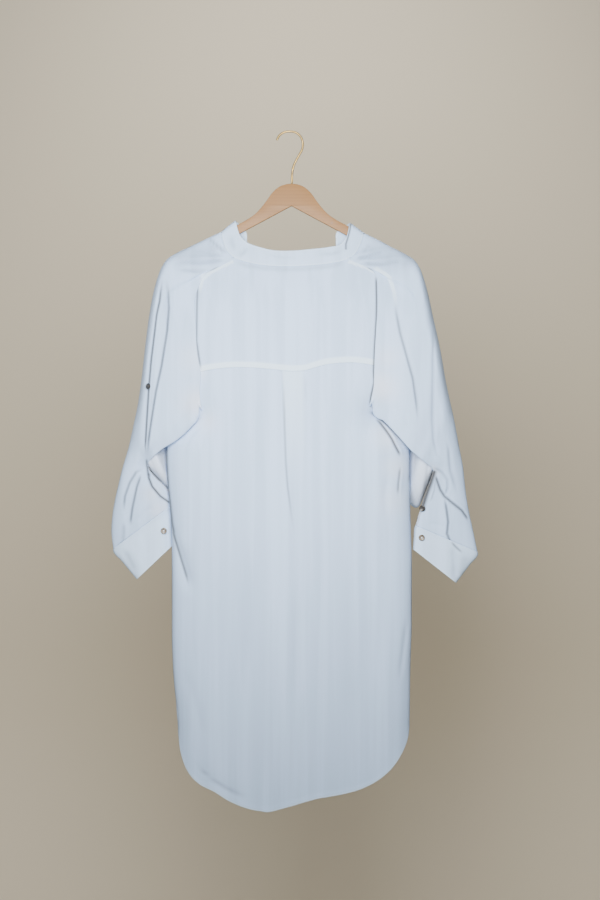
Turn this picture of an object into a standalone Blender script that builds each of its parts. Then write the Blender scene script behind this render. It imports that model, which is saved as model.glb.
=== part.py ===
"""High-low shirt hanging on a wooden hanger.

The shirt hangs with its back to -Y. +X is the viewer's right, +Z is up, and
the origin is the seat inside the hook where a rail bears. Every cloth piece is
an open sheet worked out from the tables below and thickened to a wall. Tables
are in millimetres; the solids are in metres.
"""

import math

import bmesh
import bpy
import numpy as np
from mathutils import Vector

MM = 0.001
COLLECTION = "high_low_shirt"

# Cloth
WALL = 1.2
BAND_WALL = 2.4
SEAM_GAP = 0.4
NECK_GAP = 0.8
WELD = 0.01

# Underlap of the body's cloth beneath the sleeves: reach, where it starts and fades,
# how far the sleeve lifts over it, then the inset of the body's edge where no lap is
# left, and how much more it has at the foot of the armhole
LAP = 5.0
LAP_START = 4.0
LAP_RAMP = 25.0
LAP_FADE = 45.0
LAP_LIFT = 3.2
LIFT_START = 20.0
LIFT_RAMP = 24.0
LAP_INSET = 0.8
UNDERARM_INSET = 1.4
UNDERARM_RAMP = 20.0

# Depth of the hanging shirt, front to back
ARM_HALF = 9.2
ARM_ROUND = 9.0
BODY_HALF = 35.0
BODY_DROP = 175.0
SIDE_ROUND = 75.0
SIDE_SEAM_HALF = 1.0

# Hanger
WOOD_THICK = 12.0
WOOD_EDGE = 4.0
WIRE_RADIUS = 1.8
SOCKET_DEPTH = 16.0
SOCKET_GAP = 0.3
HOOK_POINTS = 40

# Plain colours and finish
CLOTH_COLOUR = (0.70, 0.75, 0.81)
CLOTH_ROUGHNESS = 0.8
WOOD_COLOUR = (0.60, 0.42, 0.24)
STEEL_COLOUR = (0.45, 0.42, 0.38)
CUFF_BUTTON_COLOUR = (0.26, 0.22, 0.18)
TAB_BUTTON_COLOUR = (0.05, 0.05, 0.05)

# Shoulder line of the cloth from left to right: x, height
SHOULDER = [(-224, -229), (-212, -219), (-194, -210), (-177, -201), (-163, -193),
            (-143, -184), (-124, -176), (-99, -156), (97, -156), (103, -160), (128, -178),
            (143, -184.5), (160, -193), (174, -201.5), (189, -210), (203, -218),
            (219, -227), (226, -236)]

# Collar band, from the left shoulder round the back to the right one:
# top edge x, z, then the neck seam below it x, z
COLLAR = [
    (-99, -156, -124, -176),
    (-96, -166, -121, -191),
    (-92, -181, -115, -208),
    (-80, -194, -103, -221),
    (-61, -202, -80, -230),
    (-34, -209, -48, -236),
    (1, -210, -5, -238),
    (37, -207, 37, -236),
    (70, -203, 72, -232),
    (88, -197, 102, -223),
    (97, -185, 115, -212),
    (101, -170, 123, -194),
    (103, -160, 128, -178),
]

# The band's run down the open V at the front, from the shoulder to the V's
# point: top edge half distance and height, then the neck seam's
COLLAR_FRONT = [
    (92, -176, 119, -196),
    (84, -200, 112, -222),
    (76, -232, 104, -252),
    (62, -275, 89, -292),
    (40, -325, 65, -339),
    (19, -362, 37, -382),
    (0, -392, 0, -426),
]

# Runs along the neck seam from the shoulder line to the corner where it meets
# the sleeve's back seam, and the steps beyond that corner
NECK_RUNS = (0.0, 3.2, 8.5, 22.0, 38.0, 52.0)
BACK_NECK_STEPS = 14
FRONT_NECK_STEPS = 10

# Edge of each sleeve over the back: shoulder seam down to the underarm
ARMHOLE_LEFT = [(-105, -223), (-128, -238), (-152, -252), (-165, -270), (-167, -327),
                (-168, -370), (-163, -403), (-159, -428), (-161, -456), (-158, -495)]
ARMHOLE_RIGHT = [(105, -224), (128, -236), (148, -250), (151, -268), (150, -327),
                 (147, -378), (145, -421), (146, -442), (141, -465), (138, -488)]

# Side edges of the body below the underarm
SIDE_LEFT = [(-168, -504), (-194, -517), (-217, -537), (-221, -558), (-221, -583),
             (-218, -623), (-215, -658), (-211.5, -702), (-211, -737), (-211, -896),
             (-209, -949), (-206, -984), (-202, -1019), (-200, -1054)]
SIDE_RIGHT = [(148, -497), (176, -511), (201, -532), (208, -561), (209, -605),
              (209, -655), (210, -702), (212, -755), (212, -878), (210, -931),
              (209, -984), (208.5, -1028), (208, -1048)]

# Heights of the yoke's upper corners, of the yoke seam's ends and of the back's side
# hems, then the panels' rows about the foot of the armhole
YOKE_TOP_Z = -270.0
YOKE_FOOT_Z = -418.0
BACK_SIDE_Z = -1050.0
UNDERARM_ROWS = np.array([14.0, 0.0, -9.0, -16.0, -26.0, -42.0, -66.0])

# Back hem, left to right, then the front hem
HEM_BACK = [(-200, -1054), (-195, -1093), (-186, -1119), (-168, -1143), (-140, -1158),
            (-101, -1181), (-64, -1193), (-38, -1195), (-8, -1188), (41, -1174),
            (89, -1165), (121, -1156), (154, -1139), (177, -1119), (193, -1096),
            (205, -1068), (208, -1048)]
FRONT_SIDE_Z = -1004.0
FRONT_HEM_DROP = 46.0
FRONT_HEM_FULLNESS = 0.8

# Yoke seam, left to right
YOKE_SEAM = [(-185, -430), (-163, -424), (-151, -419), (-126, -410), (-98, -407), (-62, -410),
             (-27, -417), (2, -421), (31, -417), (48, -408), (78, -403), (106, -401),
             (136, -408), (150, -412), (170, -418)]

# Box pleat under the yoke: height, left fold x, right fold x, how far it stands out
PLEAT = [(-400, -15, 23, 1.2), (-424, -15, 23, 1.2), (-452, -14, 24, 3.0),
         (-519, -12, 26, 2.6), (-581, -10, 28, 2.0), (-650, -4, 30, 1.0),
         (-713, 6, 30, 0.0), (-1300, 6, 30, 0.0)]
PLEAT_STEP = 3.0
PLEAT_COLUMNS = 3

# Panel grids: column steps either side of the pleat, how far columns crowd to the
# edges, and how soon the bend of a panel's top and foot dies out towards its middle
# (a low value carries it further; the front's top differs from its middle to its sides)
PANEL_STEPS = 10
BACK_CROWD = 0.7
FRONT_CROWD = 0.5
YOKE_FADES = (1.6, 1.0)
BACK_FADES = (4.0, 3.0)
FRONT_FADE_MIDDLE = 3.0
FRONT_FADE_SIDES = 8.0
FRONT_FADE_REACH = 0.7
FRONT_FADE_FOOT = 2.0
YOKE_ROWS = 8
SHOULDER_ROWS = 5
BACK_ROWS = (3, 12)
FRONT_ROWS = (7, 9)
BAND_ROWS = 4

# Largest soft folds of the back, then of the front: x at the top and the foot, top and
# foot heights, half width, depth (a trough is positive, a ridge negative). Each tapers
# over a share of its length at both ends, and sinks by a share of the half depth at most
BACK_FOLDS = [
    (-70, -98, -690, -1010, 26, 3.5),
    (26, 17, -800, -1010, 20, 2.5),
    (-196, -178, -720, -820, 16, 4.5),
    (186, 192, -505, -560, 12, 3.0),
    (-138, -150, -560, -940, 24, -2.5),
    (92, 104, -560, -1040, 26, -2.5),
    (138, 146, -620, -1020, 22, 2.5),
    (-30, -46, -760, -1120, 20, -2.0),
]
FRONT_FOLDS = [
    (60, 92, -520, -920, 26, 3.5),
    (-58, -90, -540, -930, 26, 3.5),
    (0, 6, -600, -980, 24, -3.0),
    (132, 150, -560, -960, 22, -2.5),
    (-128, -146, -580, -960, 24, -2.5),
]
FOLD_TAPER = 0.35
FOLD_SHARPNESS = 1.6
FOLD_LIMIT = 0.6

# Sleeve sections from the armhole to the cuff seam. Each row: station, then x and z
# of the outer edge, of the fold at the back, of the fold at the front and of the
# inner edge midway, then the tube's middle in y and its half depth.
SLEEVE_LEFT = [
    (0.00, -124, -176, -158, -492, -158, -494, -173, -497, 0, 38),
    (0.04, -152, -189, -162, -487, -162, -488, -178, -491, 0, 38),
    (0.08, -179, -202, -165, -504, -165, -508, -187, -494, 0, 39),
    (0.16, -219, -224, -174, -517, -172, -526, -199, -503, 0, 40),
    (0.24, -236, -256, -187, -531, -183, -550, -212, -512, 0, 40),
    (0.36, -251, -324, -206, -546, -194, -588, -229, -524, 1, 39),
    (0.48, -261, -403, -226, -558, -207, -618, -240, -544, 2, 37),
    (0.58, -270, -473, -241, -570, -222, -627, -248, -562, 4, 33),
    (0.65, -279, -517, -247, -576, -240, -606, -251, -570, 5, 29),
    (0.70, -288, -557, -252, -582, -254, -589, -254, -580, 7, 24),
    (0.75, -299, -594, -254, -592, -254, -597, -252, -593, 9, 19),
    (0.79, -306, -622, -247, -605, -247, -607, -245, -604, 11, 17),
    (0.83, -312, -648, -236, -617, -236, -619, -233, -616, 13, 16),
    (0.88, -317, -676, -224, -631, -224, -633, -221, -630, 17, 15),
    (0.94, -319, -708, -218, -648, -218, -649, -215, -647, 20, 14),
    (1.00, -316, -736, -217, -662, -217, -663, -214, -661, 22, 12),
]
SLEEVE_RIGHT = [
    (0.00, 128, -178, 138, -485, 138, -487, 152, -491, 0, 38),
    (0.04, 153, -190, 142, -480, 142, -481, 158, -485, 0, 38),
    (0.08, 177, -203, 145, -498, 145, -502, 167, -488, 0, 39),
    (0.16, 217, -226, 161, -509, 158, -519, 181, -496, 0, 40),
    (0.24, 233, -257, 174, -522, 169, -545, 195, -505, 0, 40),
    (0.36, 249, -322, 193, -542, 182, -594, 213, -519, 1, 39),
    (0.48, 265, -396, 211, -562, 198, -645, 226, -541, 2, 37),
    (0.56, 275, -452, 224, -573, 212, -657, 234, -558, 4, 34),
    (0.60, 281, -479, 230, -578, 227, -661, 238, -568, 4, 32),
    (0.65, 286, -501, 236, -583, 237, -638, 241, -576, 5, 29),
    (0.70, 296, -554, 247, -592, 252, -598, 250, -590, 7, 24),
    (0.75, 303, -590, 251, -602, 252, -607, 249, -603, 9, 19),
    (0.81, 307, -626, 246, -624, 246, -625, 243, -623, 12, 16),
    (0.87, 312, -660, 238, -646, 238, -647, 235, -645, 14, 15),
    (0.94, 321, -702, 230, -672, 230, -673, 227, -671, 16, 14),
    (1.00, 329, -741, 223, -696, 223, -697, 220, -695, 16, 12),
]

# Shape of a sleeve ring: places along each side as shares of it, how the points beyond
# the neck corner share the first ring's armhole edge, where the sleeve is clear of
# the neck's shape and of the hanger's, and the rounding of the outer and under folds.
# The underside's points lie between a fold and the inner edge: share of the way in the
# plan, then of the depth in the first ring and in the settled ones
RING_SPREAD = np.array([0.0, 0.0115, 0.03, 0.058, 0.09, 0.125, 0.22, 0.33, 0.45, 0.57,
                        0.69, 0.81, 0.91, 1.0])
RING_HALF = len(RING_SPREAD)
ARMHOLE_SPREAD = np.array([0.17, 0.34, 0.50, 0.65, 0.78, 0.88, 0.95, 1.0])
START_END = 0.24
TUBE_FROM = 0.3
TUBE_ROUND = 35.0
FOLD_TUCK = 8.0
BACK_TUCK = 2.2
UNDERSIDE = [(0.2, 0.35, 0.10), (0.45, 0.65, 0.28), (0.7, 0.85, 0.54), (0.9, 0.96, 0.80)]
UNDERSIDE_FROM = 0.04
UNDERSIDE_BLEND = 0.04
SLEEVE_STATIONS = (0.0, 0.04, 0.08, 0.12, 0.16, 0.20, 0.24, 0.30, 0.36, 0.42, 0.48, 0.54,
                   0.60, 0.65, 0.70, 0.75, 0.79, 0.83, 0.88, 0.94, 1.0)

# Cuffs: how far each runs on in the sleeve's own direction before it turns to its rim,
# then the rims: outer x, z, inner x, z, middle y, depth beside the seam's
CUFF_TURN = 4.0
CUFF_ROWS = (0.35, 0.7, 1.0)
CUFF_LEFT = (-274, -790, -211, -730, 20, 0.85)
CUFF_RIGHT = (291, -796, 216, -737, 14, 0.85)

# Buttons, and the x, z of each on its cloth
BUTTON_DIAMETER = 11.0
BUTTON_THICK = 2.4
BUTTON_RIM = 1.6
BUTTON_DISH = 0.5
BUTTON_BACK = 0.86
BUTTON_SIDES = 20
CUFF_BUTTON_LEFT = (-226, -704)
CUFF_BUTTON_RIGHT = (230, -716)
TAB_BUTTON_LEFT = (-252, -449)
TAB_BUTTON_RIGHT = (238, -660)

# Wood outline, from the top centre outwards: distance from the centre, height
WOOD_TOP = [(0, -91), (12, -92.5), (21, -96), (33, -106), (44, -121), (54, -134),
            (66, -146), (81, -156), (99, -165.5), (124, -180.1), (143, -189), (163, -199.2),
            (177, -208), (194, -217.5), (206, -224.5)]
WOOD_TIP = [(212, -231), (213, -238), (208, -243)]
WOOD_UNDER = [(202, -245), (194, -240), (97, -182), (0, -130)]
EDGE_SEGMENTS = 2
EDGE_ANGLE = 60.0
SOCKET_SIDES = 16

# Hook wire: x, z from the free tip over the top and down into the wood
HOOK = [(-26, -14), (-22, -6), (-14, -0.2), (-2, 1.8), (9, -0.8), (17, -9), (20, -20),
        (18.3, -31), (14, -39), (9, -48), (4.2, -58), (1.5, -70), (0.8, -84), (0.8, -104)]


def smooth(value):
    """Ease from 0 to 1."""
    value = np.clip(value, 0.0, 1.0)
    return value * value * (3.0 - 2.0 * value)


def dome(value):
    """Quarter circle from 0 at 0 to 1 at 1."""
    value = np.clip(value, 0.0, 1.0)
    return np.sqrt(1.0 - (1.0 - value) ** 2)


def run_lengths(points):
    """Distance along a run of points."""
    steps = np.linalg.norm(np.diff(points, axis=0), axis=1)
    return np.concatenate(([0.0], np.cumsum(steps)))


def curve_through(stations, rows, at):
    """Smooth curve through the rows of a table, read at the stations given."""
    stations = np.asarray(stations, float)
    rows = np.asarray(rows, float)
    at = np.asarray(at, float)
    slopes = np.gradient(rows, stations, axis=0)
    place = np.clip(np.searchsorted(stations, at, side="right") - 1, 0, len(stations) - 2)
    width = (stations[place + 1] - stations[place])[:, None]
    t = (at - stations[place])[:, None] / width
    return ((2 * t ** 3 - 3 * t ** 2 + 1) * rows[place]
            + (t ** 3 - 2 * t ** 2 + t) * width * slopes[place]
            + (-2 * t ** 3 + 3 * t ** 2) * rows[place + 1]
            + (t ** 3 - t ** 2) * width * slopes[place + 1])


def along(points, fractions):
    """Smooth curve through the points, read at fractions of its length."""
    points = np.asarray(points, float)
    runs = run_lengths(points)
    return curve_through(runs, points, np.asarray(fractions, float) * runs[-1])


def crowded(count, crowd):
    """Fractions from 0 to 1, crowded towards both ends."""
    even = np.linspace(0.0, 1.0, count)
    return (1.0 - crowd) * even + crowd * 0.5 * (1.0 - np.cos(math.pi * even))


def shoulder_height(x):
    """Height of the cloth's shoulder line over x."""
    table = np.asarray(SHOULDER, float)
    return np.interp(x, table[:, 0], table[:, 1])


def edge_x(edge, z):
    """x of an edge that runs downwards, at height z."""
    table = np.asarray(edge, float)[::-1]
    return np.interp(z, table[:, 1], table[:, 0])


def edge_rows(edge, heights):
    """Points of an edge that runs downwards, at the given heights."""
    return np.stack([edge_x(edge, heights), heights], axis=-1)


def fold_depth(folds, x, z):
    """Depth of the soft folds at x, z: positive sinks towards the middle."""
    depth = np.zeros_like(x)
    for top_x, foot_x, top_z, foot_z, half_width, sink in folds:
        fall = (top_z - z) / (top_z - foot_z)
        centre = top_x + (foot_x - top_x) * fall
        ends = smooth(fall / FOLD_TAPER) * smooth((1.0 - fall) / FOLD_TAPER)
        depth = depth + sink * ends * np.exp(-FOLD_SHARPNESS * ((x - centre) / half_width) ** 2)
    return depth


def hung_half(drop):
    """Half depth of cloth at a drop below the hanger's arms."""
    drop = np.maximum(drop, 0.0)
    near_arm = ARM_HALF * dome(drop / ARM_ROUND)
    return near_arm + (BODY_HALF - ARM_HALF) * smooth(drop / BODY_DROP)


def side_distance(x, z):
    """Distance in the plan from x, z to the nearer side seam."""
    nearest = np.full(np.shape(x), np.inf)
    for line in (SIDE_LEFT, SIDE_RIGHT):
        for (x0, z0), (x1, z1) in zip(line[:-1], line[1:]):
            run_x, run_z = x1 - x0, z1 - z0
            share = ((x - x0) * run_x + (z - z0) * run_z) / (run_x ** 2 + run_z ** 2)
            share = np.clip(share, 0.0, 1.0)
            away = np.hypot(x - x0 - share * run_x, z - z0 - share * run_z)
            nearest = np.minimum(nearest, away)
    return nearest


def body_half(x, z, raised=0.0):
    """Half depth of the body at x, z, closing to its side seams below the arms."""
    hung = hung_half(shoulder_height(x) - z - raised)
    closing = dome(side_distance(x, z) / SIDE_ROUND)
    return np.maximum(hung * closing, np.where(closing < 1.0, SIDE_SEAM_HALF, 0.0))


def pleat_folds(z):
    """Left fold, right fold and stand of the box pleat at height z."""
    table = np.asarray(PLEAT, float)[::-1]
    return [np.interp(z, table[:, 0], table[:, column]) for column in (1, 2, 3)]


def yoke_seam_z(x):
    """Height of the yoke seam over x."""
    seam = np.asarray(YOKE_SEAM, float)
    return curve_through(seam[:, 0], seam[:, 1:], x)[:, 0]


def yoke_y(x, z):
    """y of the yoke's middle at x, z."""
    return -body_half(x, z)


def back_y(x, z):
    """y of the back panel's middle at x, z, with its pleat and folds."""
    left, right, stand = pleat_folds(z)
    inside = smooth((x - left) / PLEAT_STEP + 1.0) * smooth((right - x) / PLEAT_STEP + 1.0)
    half = body_half(x, z)
    sink = np.minimum(fold_depth(BACK_FOLDS, x, z), FOLD_LIMIT * half)
    return -(half - sink + stand * inside)


def front_y(x, z):
    """y of the front panel's middle at x, z, with its folds."""
    half = body_half(x, z)
    return half - np.minimum(fold_depth(FRONT_FOLDS, x, z), FOLD_LIMIT * half)


def sheet_points(plan, depth):
    """Grid of 3-D points from a plan of x, z and a depth function."""
    x, z = plan[..., 0], plan[..., 1]
    return np.stack([x, depth(x, z), z], axis=-1)


def panel_plan(left, right, top, foot, columns, top_fade, foot_fade):
    """Plan of a panel between two side edges, bent to its top and foot curves."""
    heights = left[:, 1]
    t = ((heights[0] - heights) / (heights[0] - heights[-1]))[:, None, None]
    plan = left[:, None, :] + (right - left)[:, None, :] * columns[:, :, None]
    top_bend = (top - plan[0])[None]
    foot_bend = (foot - plan[-1])[None]
    return plan + top_bend * (1.0 - t) ** top_fade + foot_bend * t ** foot_fade


def trim(grid, gap, edges):
    """Draw the named edges of a grid back by half the seam gap."""
    pairs = {
        "first_row": (grid[0], grid[1]),
        "last_row": (grid[-1], grid[-2]),
    }
    for name in edges:
        edge, inner = pairs[name]
        step = inner - edge
        length = np.linalg.norm(step, axis=-1, keepdims=True)
        edge += step / length * gap * 0.5
    return grid


def armhole_line(side, corner):
    """Edge line of a sleeve from its corner at the neck seam down to the underarm."""
    table = ARMHOLE_LEFT if side < 0 else ARMHOLE_RIGHT
    return np.concatenate([corner[None], np.asarray(table, float)[1:]])


def body_edge(side, corner):
    """Edge of the body's cloth: beneath the sleeve, then down the side seam."""
    line = armhole_line(side, corner)
    runs = run_lengths(line)
    heading = np.gradient(line, runs, axis=0)
    heading /= np.linalg.norm(heading, axis=1, keepdims=True)
    outward = side * np.stack([-heading[:, 1], heading[:, 0]], axis=-1)
    started = smooth((runs - LAP_START) / LAP_RAMP)
    reach = (LAP + LAP_INSET) * started * smooth((runs[-1] - runs) / LAP_FADE) - LAP_INSET
    reach -= UNDERARM_INSET * smooth(1.0 - (runs[-1] - runs) / UNDERARM_RAMP)
    seam = SIDE_LEFT if side < 0 else SIDE_RIGHT
    under = line + outward * reach[:, None]
    under[0] = line[0]
    return np.concatenate([under, np.asarray(seam, float)])


def neck_back():
    """Band rows across the back: top edge x, z and neck seam x, z, left to right."""
    rows = np.asarray(COLLAR, float)
    runs = run_lengths(rows[:, 2:])
    corner = NECK_RUNS[-1]
    middle = np.linspace(corner, runs[-1] - corner, BACK_NECK_STEPS + 1)
    stations = np.concatenate([NECK_RUNS[:-1], middle, runs[-1] - np.array(NECK_RUNS[-2::-1])])
    return curve_through(runs, rows, stations)


def neck_front(side):
    """Band rows down one side of the V, from the shoulder line to the V's point."""
    shoulder = np.asarray(COLLAR[0 if side < 0 else -1], float)
    rows = np.asarray(COLLAR_FRONT, float) * np.array([side, 1.0, side, 1.0])
    rows = np.concatenate([shoulder[None], rows])
    runs = run_lengths(rows[:, 2:])
    corner = NECK_RUNS[-1]
    lower = np.linspace(corner, runs[-1], FRONT_NECK_STEPS + 1)
    stations = np.concatenate([NECK_RUNS[:-1], lower])
    return curve_through(runs, rows, stations)


def make_material(name, colour, roughness, metallic=0.0):
    """Plain Principled material."""
    material = bpy.data.materials.new(name)
    material.use_nodes = True
    shader = material.node_tree.nodes["Principled BSDF"]
    shader.inputs["Base Color"].default_value = (*colour, 1.0)
    shader.inputs["Roughness"].default_value = roughness
    shader.inputs["Metallic"].default_value = metallic
    material.diffuse_color = (*colour, 1.0)
    return material


def add_object(name, mesh, material, collection):
    """Object of a mesh with one material, in the collection."""
    mesh.materials.clear()
    mesh.materials.append(material)
    piece = bpy.data.objects.new(name, mesh)
    collection.objects.link(piece)
    return piece


def sheet_mesh(name, grid, closed_across=False):
    """Mesh of a grid of points in millimetres, its end columns joined where closed."""
    rows, columns = grid.shape[:2]
    mesh = bpy.data.meshes.new(name)
    bm = bmesh.new()
    bmesh.ops.create_grid(bm, x_segments=columns - 1, y_segments=rows - 1, size=1.0)
    for vertex in bm.verts:
        column = round((vertex.co.x + 1.0) * 0.5 * (columns - 1))
        row = round((vertex.co.y + 1.0) * 0.5 * (rows - 1))
        vertex.co = Vector(grid[row, column]) * MM
    if closed_across:
        bmesh.ops.remove_doubles(bm, verts=bm.verts, dist=WELD * MM)
    bm.to_mesh(mesh)
    bm.free()
    mesh.shade_smooth()
    return mesh


def cloth_piece(name, grid, material, collection, wall=WALL, closed_across=False):
    """Cloth wall of even thickness on a grid of points."""
    mesh = sheet_mesh(name, grid, closed_across)
    piece = add_object(name, mesh, material, collection)
    thicken = piece.modifiers.new("wall", "SOLIDIFY")
    thicken.thickness = wall * MM
    thicken.offset = 0.0
    return piece


def pleated_columns(left_x, right_x, z):
    """Column shares of one row of the back panel, with columns at the pleat's folds."""
    pleat_left, pleat_right, _stand = pleat_folds(z)
    width = right_x - left_x
    first = (pleat_left - PLEAT_STEP - left_x) / width
    last = (pleat_right + PLEAT_STEP - left_x) / width
    left_fold = (pleat_left - left_x) / width
    right_fold = (pleat_right - left_x) / width
    outer = 2.0 * crowded(2 * PANEL_STEPS + 1, BACK_CROWD)[:PANEL_STEPS + 1]
    return np.concatenate([first * outer, np.linspace(left_fold, right_fold, PLEAT_COLUMNS),
                           1.0 - (1.0 - last) * outer[::-1]])


def panel_rows(side, top_z, foot_z, rows):
    """Heights of a panel's rows down one edge, close together at the underarm."""
    above, below = rows
    foot_of_armhole = (ARMHOLE_LEFT if side < 0 else ARMHOLE_RIGHT)[-1][1]
    underarm = foot_of_armhole + UNDERARM_ROWS
    upper = np.linspace(top_z, underarm[0], above + 1)[:-1]
    lower = np.linspace(underarm[-1], foot_z, below + 1)[1:]
    return np.concatenate([upper, underarm, lower])


def yoke_foot():
    """Points of the yoke seam, shared by the yoke and the back panel."""
    corner = len(NECK_RUNS) - 1
    neck = neck_back()[:, 2:]
    left = edge_x(body_edge(-1, neck[corner]), YOKE_FOOT_Z)
    right = edge_x(body_edge(1, neck[-1 - corner]), YOKE_FOOT_Z)
    x = left + (right - left) * pleated_columns(left, right, YOKE_FOOT_Z)
    return np.stack([x, yoke_seam_z(x)], axis=-1)


def with_shoulders(neck, left_line, right_line):
    """Top edge of a panel: up its left armhole, along its neck, down its right one."""
    left = np.linspace(YOKE_TOP_Z, neck[0, 1], SHOULDER_ROWS + 1)[:-1]
    right = np.linspace(neck[-1, 1], YOKE_TOP_Z, SHOULDER_ROWS + 1)[1:]
    return np.concatenate([edge_rows(left_line, left), neck, edge_rows(right_line, right)])


def build_yoke(material, collection):
    """Back yoke between the neck seam, the sleeves and the yoke seam."""
    corner = len(NECK_RUNS) - 1
    neck = neck_back()[corner:-corner, 2:]
    left_line = body_edge(-1, neck[0])
    right_line = body_edge(1, neck[-1])
    heights = np.linspace(YOKE_TOP_Z, YOKE_FOOT_Z, YOKE_ROWS)
    left = edge_rows(left_line, heights)
    right = edge_rows(right_line, heights)
    top = with_shoulders(neck, left_line, right_line)
    columns = np.repeat(np.linspace(0.0, 1.0, len(top))[None, :], len(heights), axis=0)
    plan = panel_plan(left, right, top, yoke_foot(), columns, *YOKE_FADES)
    grid = trim(sheet_points(plan, yoke_y), NECK_GAP, ("first_row",))
    grid = trim(grid, SEAM_GAP, ("last_row",))
    return cloth_piece("back_yoke", grid, material, collection)


def build_back(material, collection):
    """Back panel from the yoke seam to the long rounded hem, with the box pleat."""
    corner = len(NECK_RUNS) - 1
    neck = neck_back()[:, 2:]
    left = edge_rows(body_edge(-1, neck[corner]),
                     panel_rows(-1, YOKE_FOOT_Z, BACK_SIDE_Z, BACK_ROWS))
    right = edge_rows(body_edge(1, neck[-1 - corner]),
                      panel_rows(1, YOKE_FOOT_Z, BACK_SIDE_Z, BACK_ROWS))
    columns = np.array([pleated_columns(a[0], b[0], a[1]) for a, b in zip(left, right)])
    hem = along(HEM_BACK, 0.5 * (columns[-1] + np.linspace(0.0, 1.0, columns.shape[1])))
    plan = panel_plan(left, right, yoke_foot(), hem, columns, *BACK_FADES)
    grid = trim(sheet_points(plan, back_y), SEAM_GAP, ("first_row",))
    return cloth_piece("back_panel", grid, material, collection)


def build_front(material, collection):
    """Front panel, cut on the fold, with an open V neck and the higher hem."""
    corner = len(NECK_RUNS) - 1
    neck_left = neck_front(-1)[corner:, 2:]
    neck_right = neck_front(1)[corner:-1, 2:][::-1]
    left_line = body_edge(-1, neck_left[0])
    right_line = body_edge(1, neck_right[-1])
    left = edge_rows(left_line, panel_rows(-1, YOKE_TOP_Z, FRONT_SIDE_Z, FRONT_ROWS))
    right = edge_rows(right_line, panel_rows(1, YOKE_TOP_Z, FRONT_SIDE_Z, FRONT_ROWS))
    top = with_shoulders(np.concatenate([neck_left, neck_right]), left_line, right_line)
    fractions = crowded(len(top), FRONT_CROWD)
    columns = np.repeat(fractions[None, :], len(left), axis=0)
    hem_x = left[-1, 0] + (right[-1, 0] - left[-1, 0]) * fractions
    hem_z = FRONT_SIDE_Z - FRONT_HEM_DROP * np.sin(math.pi * fractions) ** FRONT_HEM_FULLNESS
    off_centre = np.abs(np.linspace(-1.0, 1.0, len(top)))[:, None]
    top_fade = FRONT_FADE_MIDDLE + (FRONT_FADE_SIDES - FRONT_FADE_MIDDLE) * smooth(
        off_centre / FRONT_FADE_REACH)
    plan = panel_plan(left, right, top, np.stack([hem_x, hem_z], axis=-1), columns,
                      top_fade, FRONT_FADE_FOOT)
    grid = trim(sheet_points(plan, front_y), NECK_GAP, ("first_row",))
    return cloth_piece("front_panel", grid, material, collection)


def build_collar(material, collection):
    """Collar band round the neck and down both sides of the V."""
    back = neck_back()
    right = neck_front(1)[1:]
    left = neck_front(-1)[::-1][1:]
    ring = np.concatenate([back, right, left])
    facing = np.concatenate([-np.ones(len(back)), np.ones(len(right) + len(left))])
    rows = []
    for across in np.linspace(0.0, 1.0, BAND_ROWS):
        x = ring[:, 0] + (ring[:, 2] - ring[:, 0]) * across
        z = ring[:, 1] + (ring[:, 3] - ring[:, 1]) * across
        rows.append(np.stack([x, facing * body_half(x, z), z], axis=-1))
    grid = trim(np.stack(rows), NECK_GAP, ("last_row",))
    return cloth_piece("collar_band", grid, material, collection, BAND_WALL, True)


def first_line(side, neck):
    """Plan of a sleeve's first ring over one side: its neck seam, then its armhole edge."""
    corner = len(NECK_RUNS) - 1
    lower = along(armhole_line(side, neck[corner]), ARMHOLE_SPREAD)
    return np.concatenate([neck[:corner + 1], lower])


def ring_line(outer, fold):
    """Plain plan of one side of a ring, from the outer edge to the fold."""
    return outer + (fold - outer) * RING_SPREAD[:, None]


def side_line(outer, fold, first, settled, u):
    """Plan of one side of a ring, led over from the first ring near the neck."""
    if u >= START_END:
        return ring_line(outer, fold)
    share = u / START_END
    line = first * (1.0 - share) + settled * share
    outer_shift = (outer - line[0]) * (1.0 - RING_SPREAD)[:, None]
    fold_shift = (fold - line[-1]) * RING_SPREAD[:, None]
    return line + outer_shift + fold_shift


def side_depth(line, lift, half, tuck, u):
    """Depth of one side of a ring: the hung body's at the neck, then the tube's own."""
    blend = smooth(u / TUBE_FROM)
    run = run_lengths(line)
    own = half * dome(run / (ARM_ROUND + (TUBE_ROUND - ARM_ROUND) * blend))
    raised = shoulder_height(line[0, 0]) - line[0, 1]
    hung = body_half(line[:, 0], line[:, 1], raised) + lift
    tucked = 1.0 - dome((run[-1] - run) / FOLD_TUCK)
    return hung * (1.0 - blend) + own * blend - tuck * tucked * blend


def half_underside(end, centre, u):
    """Points of a ring's underside from one fold up to the inner edge."""
    settled = smooth((u - UNDERSIDE_FROM) / UNDERSIDE_BLEND)
    points = []
    for plan_share, first_share, settled_share in UNDERSIDE:
        depth_share = first_share + (settled_share - first_share) * settled
        share = np.array([plan_share, depth_share, plan_share])
        points.append(end + (centre - end) * share)
    return points


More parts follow.
